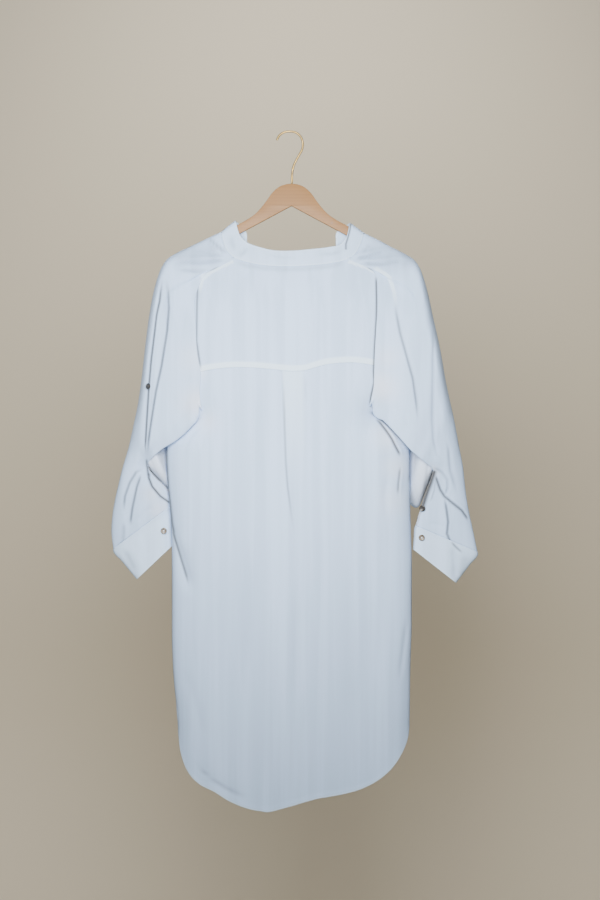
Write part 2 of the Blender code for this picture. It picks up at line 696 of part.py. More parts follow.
def sleeve_grid(side, sections):
    """Rings of sleeve points from the neck and armhole to the cuff seam."""
    table = np.asarray(sections, float)
    back_neck = neck_back()[:, 2:] if side < 0 else neck_back()[::-1, 2:]
    firsts = [first_line(side, back_neck), first_line(side, neck_front(side)[:, 2:])]
    firsts[0][-1] = table[0, 3:5]
    firsts[1][-1] = table[0, 5:7]
    lifts = [LAP_LIFT * smooth((run_lengths(line) - NECK_RUNS[-1] + LIFT_START) / LIFT_RAMP)
             for line in firsts]
    settled = curve_through(table[:, 0], table[:, 1:], [START_END])[0]
    rings = []
    for u in SLEEVE_STATIONS:
        row = curve_through(table[:, 0], table[:, 1:], [u])[0]
        outer, inner, middle, half = row[0:2], row[6:8], row[8], row[9]
        sides = []
        for facing, first, lift, place, tuck in ((-1.0, firsts[0], lifts[0], 2, BACK_TUCK),
                                                 (1.0, firsts[1], lifts[1], 4, 0.0)):
            end = ring_line(settled[0:2], settled[place:place + 2])
            line = side_line(outer, row[place:place + 2], first, end, u)
            y = middle + facing * side_depth(line, lift, half, tuck, u)
            sides.append(np.insert(line, 1, y, axis=1))
        centre = np.array([inner[0], middle, inner[1]])
        back_under = half_underside(sides[0][-1], centre, u)
        front_under = half_underside(sides[1][-1], centre, u)
        under = np.array(back_under + [centre] + front_under[::-1])
        rings.append(np.concatenate([sides[0], under, sides[1][::-1]]))
    return np.stack(rings)


def build_sleeve(name, side, sections, material, collection):
    """Sleeve tube from the collar and armhole to the cuff seam."""
    grid = sleeve_grid(side, sections)
    grid = trim(grid, NECK_GAP, ("first_row",))
    grid = trim(grid, SEAM_GAP, ("last_row",))
    return cloth_piece(name, grid, material, collection, closed_across=True)


def cuff_grid(sleeve, rim):
    """Rings of cuff points from the sleeve's last ring to the cuff's rim."""
    outer_x, outer_z, inner_x, inner_z, rim_middle, shrink = rim
    outer = np.array([outer_x, outer_z])
    inner = np.array([inner_x, inner_z])
    kept = list(range(RING_HALF)) + [RING_HALF + len(UNDERSIDE)]
    kept += list(range(RING_HALF + 2 * len(UNDERSIDE) + 1, len(sleeve[-1])))
    seam = sleeve[-1, kept]
    heading = seam - sleeve[-2, kept]
    heading /= np.linalg.norm(heading, axis=1, keepdims=True)
    turn = seam + heading * CUFF_TURN
    plan = turn[:, [0, 2]]
    reach = plan[np.argmax(np.linalg.norm(plan - plan[0], axis=1))] - plan[0]
    across = np.clip((plan - plan[0]) @ reach / (reach @ reach), 0.0, 1.0)[:, None]
    rim_plan = outer + (inner - outer) * across
    rim_y = rim_middle + (turn[:, 1] - turn[0, 1]) * shrink
    rim_ring = np.insert(rim_plan, 1, rim_y, axis=1)
    lower = [turn + (rim_ring - turn) * share for share in CUFF_ROWS]
    return np.stack([seam, turn] + lower)


def build_cuff(name, sleeve, rim, material, collection):
    """Cuff band from the cuff seam to its rim."""
    grid = trim(cuff_grid(sleeve, rim), SEAM_GAP, ("first_row",))
    return cloth_piece(name, grid, material, collection, BAND_WALL, True)


def place_on(grid, x, z):
    """Point and outward direction of the nearest-to-viewer cloth of a grid at x, z."""
    best = None
    for row in range(len(grid) - 1):
        for column in range(len(grid[0]) - 1):
            a, b = grid[row, column], grid[row, column + 1]
            c, d = grid[row + 1, column + 1], grid[row + 1, column]
            for p, q, r in ((a, b, c), (a, c, d)):
                base = np.array([q - p, r - p])[:, [0, 2]]
                if abs(np.linalg.det(base)) < 1e-9:
                    continue
                s, t = np.linalg.solve(base.T, np.array([x - p[0], z - p[2]]))
                if s < 0.0 or t < 0.0 or s + t > 1.0:
                    continue
                point = p + (q - p) * s + (r - p) * t
                if best is None or point[1] < best[0][1]:
                    normal = np.cross(q - p, r - p)
                    normal *= -np.sign(normal[1]) / np.linalg.norm(normal)
                    best = (point, normal)
    return best


def build_button(name, grid, place, wall, material, collection):
    """Flat round button with a raised rim, its back against the cloth of a grid."""
    point, normal = place_on(grid, *place)
    mesh = bpy.data.meshes.new(name)
    bm = bmesh.new()
    radius = BUTTON_DIAMETER * 0.5 * MM
    bmesh.ops.create_cone(bm, cap_ends=True, segments=BUTTON_SIDES,
                          radius1=radius * BUTTON_BACK, radius2=radius,
                          depth=BUTTON_THICK * MM)
    face = max(bm.faces, key=lambda item: item.calc_center_median().z)
    bmesh.ops.inset_region(bm, faces=[face], thickness=BUTTON_RIM * MM, depth=-BUTTON_DISH * MM)
    bm.to_mesh(mesh)
    bm.free()
    button = add_object(name, mesh, material, collection)
    stand = wall * 0.5 + SEAM_GAP + BUTTON_THICK * 0.5
    button.location = Vector(point + normal * stand) * MM
    button.rotation_mode = "QUATERNION"
    button.rotation_quaternion = Vector(normal).to_track_quat("Z", "Y")
    return button


def build_wood(material, collection, cutters):
    """Flat wooden hanger: its outline cut from board, rounded edges, a bored socket."""
    half = WOOD_TOP + WOOD_TIP + WOOD_UNDER
    outline = half + [(-x, z) for x, z in half[-2:0:-1]]
    curve = bpy.data.curves.new("hanger_outline", "CURVE")
    curve.dimensions = "2D"
    curve.fill_mode = "BOTH"
    curve.extrude = WOOD_THICK * 0.5 * MM
    spline = curve.splines.new("POLY")
    spline.points.add(len(outline) - 1)
    for point, (x, z) in zip(spline.points, outline):
        point.co = (x * MM, z * MM, 0.0, 1.0)
    spline.use_cyclic_u = True
    guide = bpy.data.objects.new("hanger_outline", curve)
    collection.objects.link(guide)
    bpy.context.view_layer.update()
    evaluated = guide.evaluated_get(bpy.context.evaluated_depsgraph_get())
    mesh = bpy.data.meshes.new_from_object(evaluated)
    bpy.data.objects.remove(guide)
    bm = bmesh.new()
    bm.from_mesh(mesh)
    bmesh.ops.remove_doubles(bm, verts=bm.verts, dist=WELD * MM)
    bm.to_mesh(mesh)
    bm.free()
    wood = add_object("hanger_wood", mesh, material, collection)
    wood.rotation_euler = (math.pi / 2.0, 0.0, 0.0)
    edge = wood.modifiers.new("rounded_edges", "BEVEL")
    edge.width = WOOD_EDGE * MM
    edge.segments = EDGE_SEGMENTS
    edge.limit_method = "ANGLE"
    edge.angle_limit = math.radians(EDGE_ANGLE)
    bpy.ops.mesh.primitive_cylinder_add(vertices=SOCKET_SIDES,
                                        radius=(WIRE_RADIUS + SOCKET_GAP) * MM,
                                        depth=2.0 * SOCKET_DEPTH * MM,
                                        location=(HOOK[-1][0] * MM, 0.0, WOOD_TOP[0][1] * MM))
    socket = bpy.context.active_object
    socket.name = "hook_socket"
    for owner in list(socket.users_collection):
        owner.objects.unlink(socket)
    cutters.objects.link(socket)
    socket.hide_render = True
    socket.display_type = "WIRE"
    bore = wood.modifiers.new("hook_socket", "BOOLEAN")
    bore.operation = "DIFFERENCE"
    bore.object = socket
    return wood


def build_hook(material, collection):
    """Steel wire hook, standing in the socket bored in the wood."""
    curve = bpy.data.curves.new("hanger_hook", "CURVE")
    curve.dimensions = "3D"
    curve.bevel_depth = WIRE_RADIUS * MM
    curve.bevel_resolution = 2
    curve.use_fill_caps = True
    foot = (HOOK[-1][0], WOOD_TOP[0][1] - SOCKET_DEPTH + SOCKET_GAP)
    points = along(HOOK[:-1] + [foot], np.linspace(0.0, 1.0, HOOK_POINTS))
    spline = curve.splines.new("POLY")
    spline.points.add(len(points) - 1)
    for point, (x, z) in zip(spline.points, points):
        point.co = (x * MM, 0.0, z * MM, 1.0)
    hook = bpy.data.objects.new("hanger_hook", curve)
    collection.objects.link(hook)
    curve.materials.append(material)
    return hook


def build_arm(word, side, sections, rim, button_place, tab_place, collection):
    """One sleeve with its cuff, cuff button and tab button."""
    sleeve = sleeve_grid(side, sections)
    build_sleeve("sleeve_" + word, side, sections,
                 make_material("sleeve_cloth_" + word, CLOTH_COLOUR, CLOTH_ROUGHNESS), collection)
    build_cuff("cuff_" + word, sleeve, rim,
               make_material("cuff_cloth_" + word, CLOTH_COLOUR, CLOTH_ROUGHNESS), collection)
    build_button("cuff_button_" + word, cuff_grid(sleeve, rim), button_place, BAND_WALL,
                 make_material("cuff_button_" + word, CUFF_BUTTON_COLOUR, 0.35), collection)
    build_button("tab_button_" + word, sleeve, tab_place, WALL,
                 make_material("tab_button_" + word, TAB_BUTTON_COLOUR, 0.4), collection)


def main():
    """Clear the scene and build the shirt on its hanger."""
    for item in list(bpy.data.objects):
        bpy.data.objects.remove(item)
    collection = bpy.data.collections.new(COLLECTION)
    cutters = bpy.data.collections.new("cutters")
    bpy.context.scene.collection.children.link(collection)
    bpy.context.scene.collection.children.link(cutters)
    build_wood(make_material("birch", WOOD_COLOUR, 0.5), collection, cutters)
    build_hook(make_material("hook_steel", STEEL_COLOUR, 0.35, 1.0), collection)
    for name, build in (("yoke", build_yoke), ("back", build_back), ("front", build_front),
                        ("collar", build_collar)):
        build(make_material(name + "_cloth", CLOTH_COLOUR, CLOTH_ROUGHNESS), collection)
    build_arm("left", -1, SLEEVE_LEFT, CUFF_LEFT, CUFF_BUTTON_LEFT, TAB_BUTTON_LEFT,
              collection)
    build_arm("right", 1, SLEEVE_RIGHT, CUFF_RIGHT, CUFF_BUTTON_RIGHT, TAB_BUTTON_RIGHT,
              collection)


if __name__ == "__main__":
    main()
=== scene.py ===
"""High-low shirt on its wooden hanger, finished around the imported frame.

The shirt hangs with its back to -Y. Its cloth is worked out from the sizes below, as
thin shells on the forms of the solids, with the folds, seams and stitching that show.
Tables are in millimetres; meshes are in metres.
"""

import logging
import math
from dataclasses import dataclass, field
from enum import Enum

import bmesh
import bpy
import numpy as np
from mathutils import Matrix, Vector


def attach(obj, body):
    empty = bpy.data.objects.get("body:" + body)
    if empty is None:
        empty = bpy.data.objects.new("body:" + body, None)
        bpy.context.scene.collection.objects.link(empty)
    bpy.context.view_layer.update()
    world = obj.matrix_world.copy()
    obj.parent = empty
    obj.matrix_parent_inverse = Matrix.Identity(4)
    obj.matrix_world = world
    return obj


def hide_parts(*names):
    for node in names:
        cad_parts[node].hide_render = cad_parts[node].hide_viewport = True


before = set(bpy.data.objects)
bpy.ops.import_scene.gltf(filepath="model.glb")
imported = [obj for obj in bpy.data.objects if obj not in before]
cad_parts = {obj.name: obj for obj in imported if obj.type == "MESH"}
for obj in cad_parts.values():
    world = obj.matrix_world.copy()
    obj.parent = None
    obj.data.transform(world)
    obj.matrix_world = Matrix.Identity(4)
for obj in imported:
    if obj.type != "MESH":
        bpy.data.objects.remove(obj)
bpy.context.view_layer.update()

LOG = logging.getLogger("high_low_shirt")
BODY = "root"
MM = 0.001

Array = np.ndarray
Colour = tuple[float, float, float, float]
Material = bpy.types.Material
Mesh = bpy.types.Mesh
Socket = bpy.types.NodeSocket

# Cloth walls, plain and doubled, the gap left at a seam, and where points are merged
WALL = 0.6
DOUBLE_WALL = 1.5
SEAM_GAP = 0.08
WELD = 0.01

# Sewn bands and hems: half width and lift of a band, the yoke's band and its soft edge,
# the hem, its pale roll and its lift, and how wide the soft edge of doubled cloth is
BAND_HALF = 3.2
BAND_LIFT = 0.25
YOKE_BAND = 10.0
YOKE_SOFT = 2.0
HEM = 5.5
HEM_ROLL = 1.6
HEM_LIFT = 0.35
EDGE_SOFT = 1.2

# A crease in half widths: the core of its painted shade, and place and half width of the lip
# beside it
PAINTED_SHADE_WIDTH = 1.3
LIP_PLACE = 2.4
LIP_HALF = 1.8

# Underlap of the body's cloth beneath the sleeves: its reach, where it starts, grows and
# fades, how far and where the sleeve lifts over it, and its reach at each underarm
LAP = 5.0
LAP_START = 42.0
LAP_RAMP = 35.0
LAP_FADE = 45.0
LAP_LIFT = 2.4
LIFT_START = -46.0
LIFT_RAMP = 40.0
UNDERARM_LAP = {-1: 6.0, 1: 3.0}

# Half depth of the hanging shirt at the hanger's arms and lower down, with the drops over
# which it rounds and grows, then its rounding and last half depth at a side seam
ARM_HALF = 9.2
ARM_ROUND = 9.0
BODY_HALF = 35.0
BODY_DROP = 175.0
SIDE_ROUND = 75.0
SIDE_SEAM_HALF = 0.8

# Shoulder line of the cloth from left to right: x, height
SHOULDER = [(-224, -229), (-212, -219), (-194, -210), (-177, -201), (-163, -193),
            (-143, -184), (-124, -176), (-99, -156), (97, -156), (103, -160), (128, -178),
            (143, -184.5), (160, -193), (174, -201.5), (189, -210), (203, -218),
            (219, -227), (226, -236)]

# Collar band round the back: top edge x, z, then the neck seam below it x, z
COLLAR = [
    (-99, -156, -124, -176),
    (-96, -166, -121, -191),
    (-92, -181, -115, -208),
    (-80, -194, -103, -221),
    (-61, -202, -80, -230),
    (-34, -209, -48, -236),
    (1, -210, -5, -238),
    (37, -207, 37, -236),
    (70, -203, 72, -232),
    (88, -197, 102, -223),
    (97, -185, 115, -212),
    (101, -170, 123, -194),
    (103, -160, 128, -178),
]

# The band's run down the open V: half distance and height of its top edge, then of
# the neck seam
COLLAR_FRONT = [
    (81, -174, 119, -196),
    (79, -200, 110, -222),
    (74, -232, 103, -252),
    (62, -275, 89, -292),
    (40, -325, 65, -339),
    (19, -362, 37, -382),
    (0, -392, 0, -426),
]
NECK_RUNS = (0.0, 3.2, 8.5, 22.0, 38.0, 52.0)
CORNER = len(NECK_RUNS) - 1
BACK_NECK_STEPS = 14
FRONT_NECK_STEPS = 10

# Edge of each sleeve over the back: shoulder seam down to the underarm
ARMHOLE_LEFT = [(-105, -223), (-128, -238), (-152, -252), (-165, -270), (-167, -327),
                (-168, -370), (-163, -403), (-159, -428), (-161, -456), (-158, -495)]
ARMHOLE_RIGHT = [(105, -224), (128, -236), (148, -250), (151, -268), (150, -327),
                 (147, -378), (145, -421), (146, -442), (141, -465), (138, -488)]

# Side edges of the body below the underarm
SIDE_LEFT = [(-168, -504), (-194, -517), (-217, -537), (-221, -558), (-221, -583),
             (-218, -623), (-215, -658), (-211.5, -702), (-211, -737), (-211, -896),
             (-209, -949), (-206, -984), (-202, -1019), (-200, -1054)]
SIDE_RIGHT = [(148, -497), (176, -511), (201, -532), (208, -561), (209, -605),
              (209, -655), (210, -702), (212, -755), (212, -878), (210, -931),
              (209, -984), (208.5, -1028), (208, -1048)]

# Run of each side's closing below its seam, beside the free hem
HEM_LEFT_RUN = ((-203, -1120), (-210, -1200))
HEM_RIGHT_RUN = ((211, -1114), (218, -1200))

# Heights of the yoke's upper corners, of the yoke seam's ends and of the side hems, the
# front hem's drop and fullness, and the panels' rows about the foot of the armhole
YOKE_TOP_Z = -270.0
YOKE_FOOT_Z = -418.0
BACK_SIDE_Z = -1050.0
FRONT_SIDE_Z = -1004.0
FRONT_HEM_DROP = 46.0
FRONT_HEM_FULLNESS = 0.8
UNDERARM_ROWS = np.array([14.0, 0.0, -9.0, -16.0, -26.0, -42.0, -66.0])

# Back hem, then the yoke seam, left to right
HEM_BACK = [(-200, -1054), (-195, -1093), (-186, -1119), (-168, -1143), (-140, -1158),
            (-101, -1181), (-64, -1193), (-38, -1195), (-8, -1188), (41, -1174),
            (89, -1165), (121, -1156), (154, -1139), (177, -1119), (193, -1096),
            (205, -1068), (208, -1048)]
YOKE_SEAM = [(-185, -432), (-163, -425), (-151, -422), (-126, -418), (-98, -416), (-62, -417),
             (-27, -420), (2, -422.5), (31, -420), (48, -414), (78, -409), (106, -407.5),
             (136, -411), (150, -414), (170, -420)]

# Box pleat under the yoke: height, left fold x, right fold x, how far it stands out
PLEAT = [(-400, -15, 23, 1.2), (-424, -15, 23, 1.2), (-452, -14, 24, 3.0),
         (-519, -12, 26, 2.6), (-581, -10, 28, 2.0), (-650, -4, 30, 1.0),
         (-713, 6, 30, 0.0), (-1300, 6, 30, 0.0)]

# The pleat's sharp sides, its soft right side on the cloth and where that starts, its
# control columns, how pale it is, and the heights between which that fades
PLEAT_STEP = 3.0
PLEAT_SOFT = 13.0
PLEAT_SOFT_START = 0.3
PLEAT_COLUMNS = 3
PLEAT_PALE = 0.45
PLEAT_PALE_TOP = -440.0
PLEAT_PALE_FOOT = -640.0

# Panel grids: control columns and rows, and how soon a bent edge's shape dies out
PANEL_STEPS = 10
BACK_CROWD = 0.7
FRONT_CROWD = 0.5
YOKE_FADES = (1.6, 1.0)
BACK_FADES = (4.0, 3.0)
FRONT_FADE_MIDDLE = 3.0
FRONT_FADE_SIDES = 8.0
FRONT_FADE_REACH = 0.7
FRONT_FADE_FOOT = 2.0
YOKE_ROWS = 8
SHOULDER_ROWS = 5
BACK_ROWS = (3, 12)
FRONT_ROWS = (7, 9)

# Large soft folds: x at the top and foot, top and foot heights, half width, depth
BACK_FOLDS = [
    (-70, -98, -690, -1010, 26, 3.5),
    (26, 17, -800, -1010, 20, 2.5),
    (-196, -178, -720, -820, 16, 4.5),
    (186, 192, -505, -560, 12, 3.0),
    (-138, -150, -560, -940, 24, -2.5),
    (92, 104, -560, -1040, 26, -2.5),
    (138, 146, -620, -1020, 22, 2.5),
    (-30, -46, -760, -1120, 20, -2.0),
]
FRONT_FOLDS = [
    (60, 92, -520, -920, 26, 3.5),
    (-58, -90, -540, -930, 26, 3.5),
    (0, 6, -600, -980, 24, -3.0),
    (132, 150, -560, -960, 22, -2.5),
    (-128, -146, -580, -960, 24, -2.5),
]

# A large fold's taper and sharpness, the share of the half depth that folds may take, and
# the half depth from which creases have their full depth
FOLD_TAPER = 0.35
FOLD_SHARPNESS = 1.6
FOLD_LIMIT = 0.6
CREASE_ROOM = 14.0

# Ripples of the hanging crepe: height, waves across x, share of the drift, start. Then
# their drift down the cloth, their swell, and where the front's start beside the back's
RIPPLES = [(0.22, 0.105, 1.0, 0.0), (0.154, 0.171, -0.6, 1.1), (0.05, 0.37, 0.9, 2.3),
           (0.035, 0.61, -1.0, 0.0)]
RIPPLE_DRIFT = (0.012, 1.7, 0.006)
RIPPLE_SWELL = (0.6, 0.4, 0.013, 0.02)
RIPPLE_FRONT = 40.0

# Sleeve sections: station, then x and z of the outer edge, of the fold at the back, of
# the fold at the front and of the inner edge, then the tube's middle in y, half depth
SLEEVE_LEFT = [
    (0.00, -124, -176, -158, -492, -158, -494, -173, -497, 0, 38),
    (0.04, -152, -189, -162, -487, -162, -488, -178, -491, 0, 38),
    (0.08, -179, -202, -165, -504, -165, -508, -187, -494, 0, 39),
    (0.16, -219, -224, -174, -517, -172, -526, -199, -503, 0, 40),
    (0.24, -236, -256, -187, -531, -183, -550, -212, -512, 0, 40),
    (0.36, -251, -324, -206, -546, -194, -588, -229, -524, 1, 39),
    (0.48, -261, -403, -226, -558, -207, -618, -240, -544, 2, 37),
    (0.58, -270, -473, -241, -570, -216, -634, -248, -562, 4, 33),
    (0.65, -279, -517, -247, -576, -234, -619, -251, -570, 5, 29),
    (0.70, -288, -557, -252, -582, -248, -602, -254, -580, 7, 24),
    (0.75, -299, -594, -254, -592, -251, -602, -252, -593, 9, 19),
    (0.79, -306, -622, -247, -605, -247, -607, -245, -604, 11, 17),
    (0.83, -312, -648, -236, -617, -236, -619, -233, -616, 13, 16),
    (0.88, -317, -676, -224, -631, -224, -633, -221, -630, 17, 15),
    (0.94, -319, -708, -218, -648, -218, -649, -215, -647, 20, 14),
    (1.00, -316, -736, -217, -662, -217, -663, -214, -661, 22, 12),
]
SLEEVE_RIGHT = [
    (0.00, 128, -178, 138, -485, 138, -487, 152, -491, 0, 38),
    (0.04, 153, -190, 142, -480, 142, -481, 158, -485, 0, 38),
    (0.08, 177, -203, 145, -498, 145, -502, 167, -488, 0, 39),
    (0.16, 217, -226, 161, -509, 158, -519, 181, -496, 0, 40),
    (0.24, 233, -257, 174, -522, 169, -545, 195, -505, 0, 40),
    (0.36, 249, -322, 193, -542, 182, -594, 213, -519, 1, 39),
    (0.48, 265, -396, 211, -562, 198, -645, 226, -541, 2, 37),
    (0.56, 275, -452, 224, -573, 212, -657, 234, -558, 4, 34),
    (0.60, 281, -479, 230, -578, 227, -661, 238, -568, 4, 32),
    (0.65, 286, -501, 236, -583, 237, -638, 241, -576, 5, 29),
    (0.70, 296, -554, 247, -592, 252, -598, 250, -590, 7, 24),
    (0.75, 303, -590, 251, -602, 252, -607, 249, -603, 9, 19),
    (0.81, 307, -626, 246, -624, 246, -625, 243, -623, 12, 16),
    (0.87, 312, -660, 238, -646, 238, -647, 235, -645, 14, 15),
    (0.94, 321, -702, 230, -672, 230, -673, 227, -671, 16, 14),
    (1.00, 329, -741, 223, -696, 223, -697, 220, -695, 16, 12),
]

# Shares of a ring's points from its outer edge to a fold and of the armhole's points,
# where the first ring's shape has died out, and where the sleeve is a tube of its own
RING_SPREAD = np.array([0.0, 0.0115, 0.03, 0.058, 0.09, 0.125, 0.22, 0.33, 0.45, 0.57,
                        0.69, 0.81, 0.91, 1.0])
RING_HALF = len(RING_SPREAD)
ARMHOLE_SPREAD = np.array([0.17, 0.34, 0.50, 0.65, 0.78, 0.88, 0.95, 1.0])
START_END = 0.24
TUBE_FROM = 0.3
TUBE_ROUND = 35.0

# By side, reach of the tuck beside a fold, and how deep the fold at the back is tucked
FOLD_TUCK = {-1: 24.0, 1: 8.0}
BACK_TUCK = {-1: 8.0, 1: 2.2}

# Underside from a fold to the inner edge: share of the way in the plan, then in depth at
# the armhole, further down, and beside the body
UNDERSIDE = [(0.2, 0.35, 0.10, 0.5), (0.45, 0.65, 0.28, 0.8), (0.7, 0.85, 0.54, 0.93),
             (0.9, 0.96, 0.80, 0.99)]
UNDERSIDE_FROM = 0.04
UNDERSIDE_BLEND = 0.04

# Stations where the underside opens beside the body and closes again, and how far its
# inner edge then rises, as a share of the half depth
GAP_FROM = 0.42
GAP_BLEND = 0.14
GAP_TO = 0.7
GAP_CLOSE = 0.06
GAP_RISE = 0.55

# Looks of a sleeve: the painted light on its shaded underside and its easing, how creases ease in
# at the outer edge and at a fold, how far their painted shade passes the fold, the height below
# which it is on the underside too, and the ripples' stretch, start and share
UNDER_PAINTED_LIGHT = 0.6
PAINTED_LIGHT_EASE = 6.0
OUTER_EASE = 3.0
FOLD_EASE = 8.0
PAINTED_SHADE_REACH = 2.0
FOREARM_Z = -590.0
SLEEVE_RIPPLE = (0.9, 17.0, 0.7)
SLEEVE_STATIONS = (0.0, 0.04, 0.08, 0.12, 0.16, 0.20, 0.24, 0.30, 0.36, 0.42, 0.48, 0.54,
                   0.60, 0.65, 0.70, 0.75, 0.79, 0.83, 0.88, 0.94, 1.0)

# How far a cuff keeps the sleeve's heading, its control rows from there to the rim, and
# the rims: outer x, z, inner x, z, middle y, depth beside the seam's
CUFF_TURN = 4.0
CUFF_ROWS = (0.35, 0.7, 1.0)
CUFF_LEFT = (-274, -790, -211, -730, 20, 0.85)
CUFF_RIGHT = (291, -796, 216, -737, 14, 0.85)

# Wood outline from the top centre outwards, then its tip and underside
WOOD_TOP = [(0, -91), (12, -92.5), (21, -96), (33, -106), (44, -121), (54, -134),
            (66, -146), (81, -156), (99, -165.5), (124, -180.1), (143, -189), (163, -199.2),
            (177, -208), (194, -217.5), (206, -224.5)]
WOOD_TIP = [(212, -231), (213, -238), (208, -243)]
WOOD_UNDER = [(202, -245), (194, -240), (97, -182), (0, -130)]

# Middle of the hook's wire, from its tip round to the wood
HOOK = [(-26, -14), (-22, -6), (-14, -0.2), (-2, 1.8), (9, -0.8), (17, -9), (20, -20),
        (18.3, -31), (14, -39), (9, -48), (4.2, -58), (1.5, -70), (0.8, -84), (0.8, -106.7)]

# Turn in degrees and shift of the left and of the right tab button from its solid
TAB_BUTTONS = ((62.0, (1.5, -2.0, 0.0)), (0.0, (-6.0, 0.5, -4.0)))

# Half section of a button from its back's middle: shares of its radius and thickness
BUTTON_SECTION = ((0.0, -0.5), (0.78, -0.5), (0.93, -0.28), (1.0, 0.12), (0.97, 0.38),
                  (0.88, 0.5), (0.74, 0.44), (0.62, 0.22), (0.5, 0.16), (0.0, 0.16))


class Side(Enum):
    """Which arm a piece belongs to, as the sign of its x."""

    LEFT = -1
    RIGHT = 1

    @property
    def word(self) -> str:
        """The side's name in lower case."""
        return self.name.lower()

    def pick(self, left: object, right: object) -> object:
        """The one of a left and a right thing that is this side's."""
        return left if self is Side.LEFT else right


@dataclass(frozen=True)
class Crease:
    """A trough or ridge laid along the hanging cloth.

    Attributes:
        points: x and z along its run.
        depth: how far it sinks; a ridge is negative.
        half: half width.
        lip: how far the cloth on the left of its run stands up beside it.
        taper: share of its length over which each end dies out.
        dark: how dark the shade painted into its core is, from 0 to 1.
    """

    points: tuple[tuple[float, float], ...]
    depth: float
    half: float
    lip: float = 0.0
    taper: float = 0.25
    dark: float = 0.0


@dataclass(frozen=True)
class Band:
    """A sewn band of doubled cloth along a seam.

    Attributes:
        points: x and z along its middle.
        half: half width.
        lift: how far it stands up.
        taper: share of its length over which its far end dies out.
    """

    points: tuple[tuple[float, float], ...]
    half: float = BAND_HALF
    lift: float = BAND_LIFT
    taper: float = 0.05


@dataclass(frozen=True)
class PaintedLightPatch:
    """A faint patch of painted light: a pale warm colour laid on the cloth to lighten it.

    Attributes:
        x: x of its middle.
        z: z of its middle.
        radius: its radius.
        strength: how strong the painted light is there, from 0 to 1.
    """

    x: float
    z: float
    radius: float
    strength: float


# A crease's dark paints shade into its core in place of the shade deep in the fold. These two
# paint the shadow that each sleeve's edge casts on the yoke and back.
SLEEVE_EDGES = (
    Crease(((-164.5, -256), (-166, -300), (-166, -330), (-166.5, -370), (-162, -400),
            (-158, -425)), 0.8, 1.4, 0.0, 0.12, 0.85),
    Crease(((149, -252), (149.5, -300), (149, -327), (146, -378), (144, -421), (145, -442),
            (140, -465), (137, -488)), 1.0, 1.5, 0.0, 0.06, 1.0),
)
# The back's creases; some paint the shadow under the sleeves' lower edges and beside the body's
# edge, and the wide faint ones paint the shading of broad folds.
BACK_CREASES = SLEEVE_EDGES + (
    Crease(((-14, -424), (-13.5, -452), (-12, -519), (-10, -581), (-7, -625), (1, -685),
            (6, -713)), 1.6, 1.5, 0.8, 0.3, 0.5),
    Crease(((24, -426), (25, -450), (26, -480)), 0.4, 2.0, -0.3, 0.3, 0.1),
    Crease(((-212, -690), (-207, -711), (-204, -721), (-195, -750), (-187, -775), (-180, -800)),
           3.0, 1.9, -1.8, 0.2, 0.9),
    Crease(((-220, -550), (-219.5, -583), (-217, -628), (-213.5, -656), (-210, -690),
            (-207, -706), (-206, -718)), 0.2, 1.7, 0.0, 0.08, 0.9),
    Crease(((210, -560), (208.6, -585), (207.8, -603), (207, -622)), 0.2, 1.5, 0.0, 0.2, 0.7),
    Crease(((148, -505), (156, -513), (168, -529), (176, -541), (182, -553), (193, -574)),
           2.8, 1.9, 1.8, 0.14, 1.0),
    Crease(((192, -588), (190, -605), (188, -622), (187, -642)), 1.8, 1.7, 1.2, 0.25, 0.75),
    Crease(((137, -492), (152, -503), (172, -520), (194, -542), (212, -562)), 1.0, 2.0, 0.0,
           0.1, 0.8),
    Crease(((-158, -500), (-174, -517), (-190, -533), (-212, -549)), 0.8, 2.4, 0.0, 0.2, 0.2),
    Crease(((-150, -512), (-176, -534), (-190, -566)), 1.2, 4.0, 0.6, 0.4),
    Crease(((168, -600), (164, -640), (166, -690)), 1.4, 5.0, 0.8, 0.4),
    Crease(((-96, -440), (-104, -560), (-100, -700)), 1.0, 9.0, 0.0, 0.3, 0.04),
    Crease(((-52, -430), (-58, -520), (-54, -640)), 0.8, 8.0, 0.0, 0.3, 0.04),
    Crease(((70, -425), (74, -520), (66, -660)), 0.9, 8.0, 0.0, 0.3, 0.04),
    Crease(((118, -430), (122, -520), (112, -640)), 1.0, 9.0, 0.0, 0.3, 0.04),
    Crease(((-120, -560), (-132, -760), (-126, -960)), 1.6, 10.0, 0.0, 0.3, 0.04),
    Crease(((52, -640), (56, -840), (50, -1040)), 1.5, 11.0, 0.0, 0.3, 0.04),
    Crease(((-16, -760), (-22, -900), (-12, -1080)), 1.2, 9.0),
    Crease(((150, -640), (160, -800), (154, -960)), 1.4, 9.0, 0.0, 0.3, 0.04),
    Crease(((112, -700), (118, -860), (110, -1020)), -1.2, 9.0),
    Crease(((-166, -660), (-172, -800), (-168, -960)), -1.3, 9.0),
    Crease(((-176, -1104), (-150, -1129), (-128, -1145), (-100, -1160), (-72, -1174)), 1.3, 2.2,
           -0.9, 0.3, 0.35),
    Crease(((203, -850), (200, -884), (194, -930), (189, -975)), 1.6, 4.0, 1.0, 0.3, 0.14),
    Crease(((96, -760), (100, -900), (104, -1060)), 1.4, 11.0, 0.0, 0.3, 0.05),
    Crease(((8, -780), (6, -900), (4, -1040)), 1.4, 8.0, 0.0, 0.3, 0.05),
    Crease(((-72, -740), (-84, -860), (-104, -1040)), 1.6, 12.0, 0.0, 0.3, 0.06),
    Crease(((-190, -940), (-168, -1010), (-150, -1080)), 1.1, 9.0),
)
